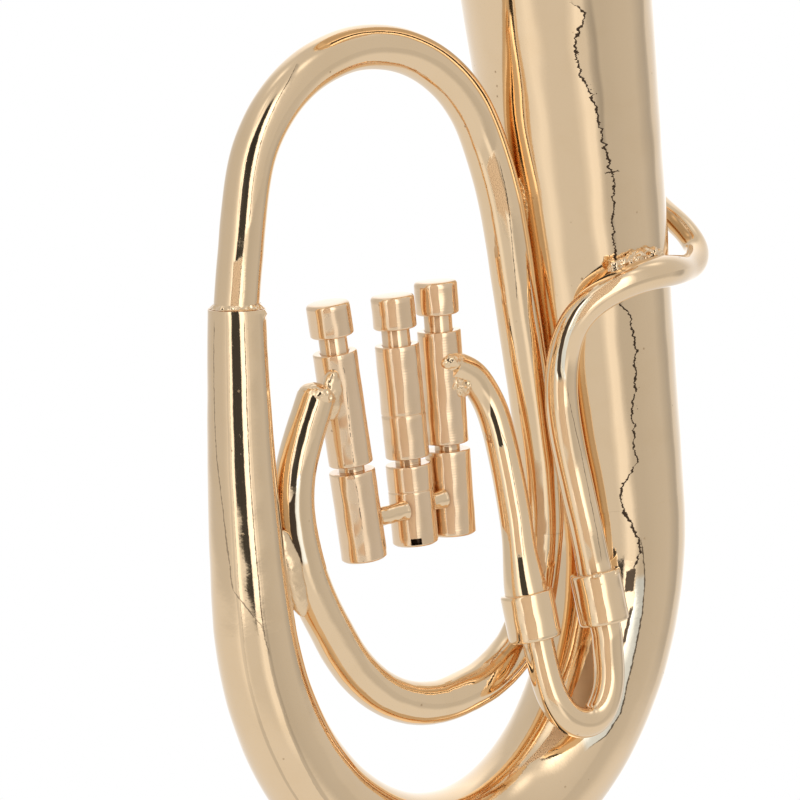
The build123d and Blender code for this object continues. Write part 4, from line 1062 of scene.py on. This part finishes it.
# valve 1: a cap over the tube end with a cratered bead, and a smooth web on to the casing
run_1 = unit(np.array(LOWER_LOOP[-1][:3]) - np.array(LOWER_LOOP[-2][:3]))
tip_1 = np.array(LOWER_LOOP[-1][:3])
across = unit(np.cross(run_1, (0, 1, 0)))
across = across if across[0] > 0 else -across
bead = tip_1 + run_1 * 0.55 - across * 0.65 + np.array([0, -1.85, 0])
ob = solder_blob("solder_port_1", tip_1 + across * 0.05, (2.06, 2.14, 1.55), run_1, 5, rough=0.03, fine=0.01,
                 lumps=((bead, 1.25, 0.38),),
                 craters=((bead + (0.0, -0.4, 0.0), 0.40, 0.38), (bead + (0.75, -0.4, 0.2), 0.32, 0.30),
                          (bead + (0.5, -0.4, -0.7), 0.34, 0.30), (bead + (-0.5, -0.4, 0.45), 0.26, 0.22)),
                 side=(0, 1, 0), keep=clear_1)
settle(ob, "horn", ["solder_valve_1_port"], solder_gold)
ob = solder_blob("solder_port_1_web", (-12.75, -1.35, 58.9), (1.0, 1.35, 2.75), (0.25, 0, 1), 7, rough=0.03, fine=0.005,
                 lumps=(((-12.6, -1.9, 61.2), 0.7, 0.3),), side=(0, 1, 0), keep=clear_1)
spare(ob, web_gold)
# valve 3: a bead at the head of the tube and a rough smear down the inside of the bend
ob = solder_blob("solder_port_3", (3.85, -1.75, 58.95), (1.15, 1.25, 1.75), (0.85, -0.05, -0.2), 6, rough=0.05, fine=0.03,
                 lumps=(((3.2, -2.7, 59.4), 0.7, 0.30),), craters=(((3.35, -3.0, 59.6), 0.30, 0.28),), side=(0, 1, 0),
                 keep=clear_3)
settle(ob, "horn", ["solder_valve_3_port"], solder_gold)
ob = solder_blob("solder_port_3_smear", (4.35, -1.75, 56.3), (0.95, 1.45, 1.45), (0.2, 0, 1), 9, rough=0.14, fine=0.07,
                 lumps=(((3.9, -2.6, 55.6), 0.7, 0.25),), craters=(((4.6, -2.8, 56.5), 0.4, 0.3),), side=(0, 1, 0),
                 keep=clear_3)
spare(ob, solder_gold)
# beads round the top edge of the outer ferrule
for k, (c, a) in enumerate((((14.35, -9.55, 33.35), (0.45, 0.85, 0.35)), ((16.3, -9.95, 33.2), (0.4, 0.6, 0.3)))):
    ob = solder_blob("solder_ferrule_%d" % (k + 1), c, a, (0.1, 0.1, 1), 20 + k, rough=0.08, fine=0.03, side=(0, 1, 0))
    spare(ob, solder_gold)


# ------------------------------------------------------------------ floor and light
def plain_floor():
    me = bpy.data.meshes.new("floor")
    s = 6.0
    me.from_pydata([(-s, -s, -0.0004), (s, -s, -0.0004), (s, s, -0.0004), (-s, s, -0.0004)], [], [(0, 1, 2, 3)])
    ob = bpy.data.objects.new("floor", me)
    scene.collection.objects.link(ob)
    m = bpy.data.materials.new("floor_white")
    m.use_nodes = True
    m.node_tree.nodes.clear()
    n = Net(m.node_tree)
    em = n.node("ShaderNodeEmission", {"Color": (1, 1, 1, 1), "Strength": 1.0})
    out = n.node("ShaderNodeOutputMaterial")
    m.node_tree.links.new(em.outputs[0], out.inputs[0])
    me.materials.append(m)
    ob.visible_glossy = False
    ob.visible_diffuse = False
    ob.visible_shadow = False
    return ob


plain_floor()

# The studio seen in the plate: a pale tent, brighter behind and in two upright bands beside the
# camera opening, which is dark from a little below the horizon to well above it.
# (degrees right of the viewpoint, brightness) in a level ring, and in the ring just below it
RING_LEVEL = [(-180, 1.18), (-160, 0.92), (-146, 0.68), (-110, 0.62), (-62, 0.64), (-50, 0.70), (-40, 0.86), (-34, 1.15),
              (-31, 1.38), (-24, 1.38), (-21, 1.0), (0, 0.72), (11, 0.9), (13, 1.60), (18, 1.85), (30, 1.75), (37, 1.10), (43, 0.72),
              (60, 0.66), (100, 0.66), (130, 0.68), (146, 0.86), (165, 1.05), (180, 1.18)]
RING_LOW = [(-180, 1.20), (-160, 0.92), (-140, 0.82), (-110, 0.77), (-70, 0.77), (-56, 0.79), (-48, 0.88), (-42, 0.98),
            (-36, 0.94), (-30, 0.77), (-25, 0.71), (5, 0.71), (11, 0.82), (17, 1.03), (27, 1.00), (32, 0.70), (37, 0.57),
            (50, 0.57), (70, 0.60), (95, 0.62), (106, 0.54), (118, 0.47), (123, 0.52), (127, 0.74), (145, 0.85),
            (160, 1.08), (180, 1.20)]

scene.cycles.max_bounces = 14
scene.cycles.glossy_bounces = 9

world = bpy.data.worlds.new("studio")
scene.world = world
world.use_nodes = True
world.node_tree.nodes.clear()
n = Net(world.node_tree)
tc = n.node("ShaderNodeTexCoord")
d = tc.outputs["Generated"]
bh = (math.sin(math.radians(VIEW_AZ)), -math.cos(math.radians(VIEW_AZ)), 0.0)
rh = (math.cos(math.radians(VIEW_AZ)), math.sin(math.radians(VIEW_AZ)), 0.0)
fwd = n.vmath("DOT_PRODUCT", d, bh, out=1)
rgt = n.vmath("DOT_PRODUCT", d, rh, out=1)
sep = n.node("ShaderNodeSeparateXYZ", {"Vector": d})
az = n.math("MULTIPLY", n.math("ARCTAN2", rgt, fwd), 180 / math.pi)
el = n.math("MULTIPLY", n.math("ARCSINE", sep.outputs[2]), 180 / math.pi)


def ring(table):
    t = n.math("DIVIDE", n.math("ADD", az, 180.0), 360.0)
    nd = n.node("ShaderNodeValToRGB", {"Fac": t})
    r = nd.color_ramp
    r.interpolation = "LINEAR"
    while len(r.elements) > 1:
        r.elements.remove(r.elements[-1])
    for i, (a, v) in enumerate(table):
        e = r.elements[0] if i == 0 else r.elements.new((a + 180) / 360)
        e.position = (a + 180) / 360
        e.color = (v / 2, v / 2, v / 2, 1)
    return n.math("MULTIPLY", nd.outputs[0], 2.0)


def spot(a, e, wa, we, gain):
    """A soft bright patch at azimuth a and elevation e."""
    x = n.math("DIVIDE", n.math("SUBTRACT", az, float(a)), float(wa))
    y = n.math("DIVIDE", n.math("SUBTRACT", el, float(e)), float(we))
    rr = n.math("ADD", n.math("MULTIPLY", x, x), n.math("MULTIPLY", y, y))
    return n.math("MULTIPLY", n.math("EXPONENT", n.math("MULTIPLY", rr, -1.0)), gain)


wob = n.math("SUBTRACT", n.noise(d, 9.0, 4.0, 0.6), 0.5)
wob2 = n.math("SUBTRACT", n.noise(d, 3.0, 2.0, 0.5), 0.5)
level, low = ring(RING_LEVEL), ring(RING_LOW)
up = n.step(el, -9.0, -5.0)
lum = n.math("ADD", n.math("MULTIPLY", level, up), n.math("MULTIPLY", low, n.math("SUBTRACT", 1.0, up)))
below = n.step(el, -34.0, -20.0, 1.0, 0.0)
lum = n.math("ADD", n.math("MULTIPLY", lum, n.math("SUBTRACT", 1.0, below)), n.math("MULTIPLY", below, 0.79))
above = n.step(el, 42.0, 60.0)
lum = n.math("ADD", n.math("MULTIPLY", lum, n.math("SUBTRACT", 1.0, above)), n.math("MULTIPLY", above, 0.66))
for a, e, wa, we, g in ((-18, 52, 8, 12, 0.5), (22, 44, 8, 16, 0.5), (-31, 34, 8, 22, 0.45), (-40, 62, 14, 9, 0.5), (50, 62, 14, 9, 0.65), (108, 54, 14, 10, 0.6),
                        (-118, 72, 20, 7, 0.5), (26, 24, 9, 10, 0.2)):
    lum = n.math("ADD", lum, spot(a, e, wa, we, g))
azw = n.math("ADD", az, n.math("MULTIPLY", wob, 5.0))
elw = n.math("ADD", el, n.math("MULTIPLY", wob, 4.0))
# the opening's foot slopes down to the right, its head narrows from the left
taper = n.math("MULTIPLY", n.math("MAXIMUM", n.math("SUBTRACT", el, 36.0), 0.0), 0.8)
azl = n.math("SUBTRACT", azw, taper)
slit = n.math("MULTIPLY", n.step(azl, -23.5, -20.5), n.step(azw, 9.5, 11.5, 1.0, 0.0))
foot = n.math("ADD", elw, n.math("MULTIPLY", az, 0.22))
slit = n.math("MULTIPLY", slit, n.math("MULTIPLY", n.step(foot, -7.5, -4.5), n.step(elw, 54.0, 64.0, 1.0, 0.0)))
depth = n.math("ADD", 0.93, n.math("MULTIPLY", wob2, 0.12), clamp=True)
lum = n.math("MULTIPLY", lum, n.math("SUBTRACT", 1.0, n.math("MULTIPLY", slit, depth)))
lp = n.node("ShaderNodeLightPath")
seen = lp.outputs["Is Camera Ray"]
lum = n.math("ADD", n.math("MULTIPLY", lum, n.math("SUBTRACT", 1.0, seen)), seen)
bg = n.node("ShaderNodeBackground", {"Color": (1.0, 1.0, 1.0, 1.0), "Strength": lum})
out = n.node("ShaderNodeOutputWorld")
world.node_tree.links.new(bg.outputs[0], out.inputs[0])
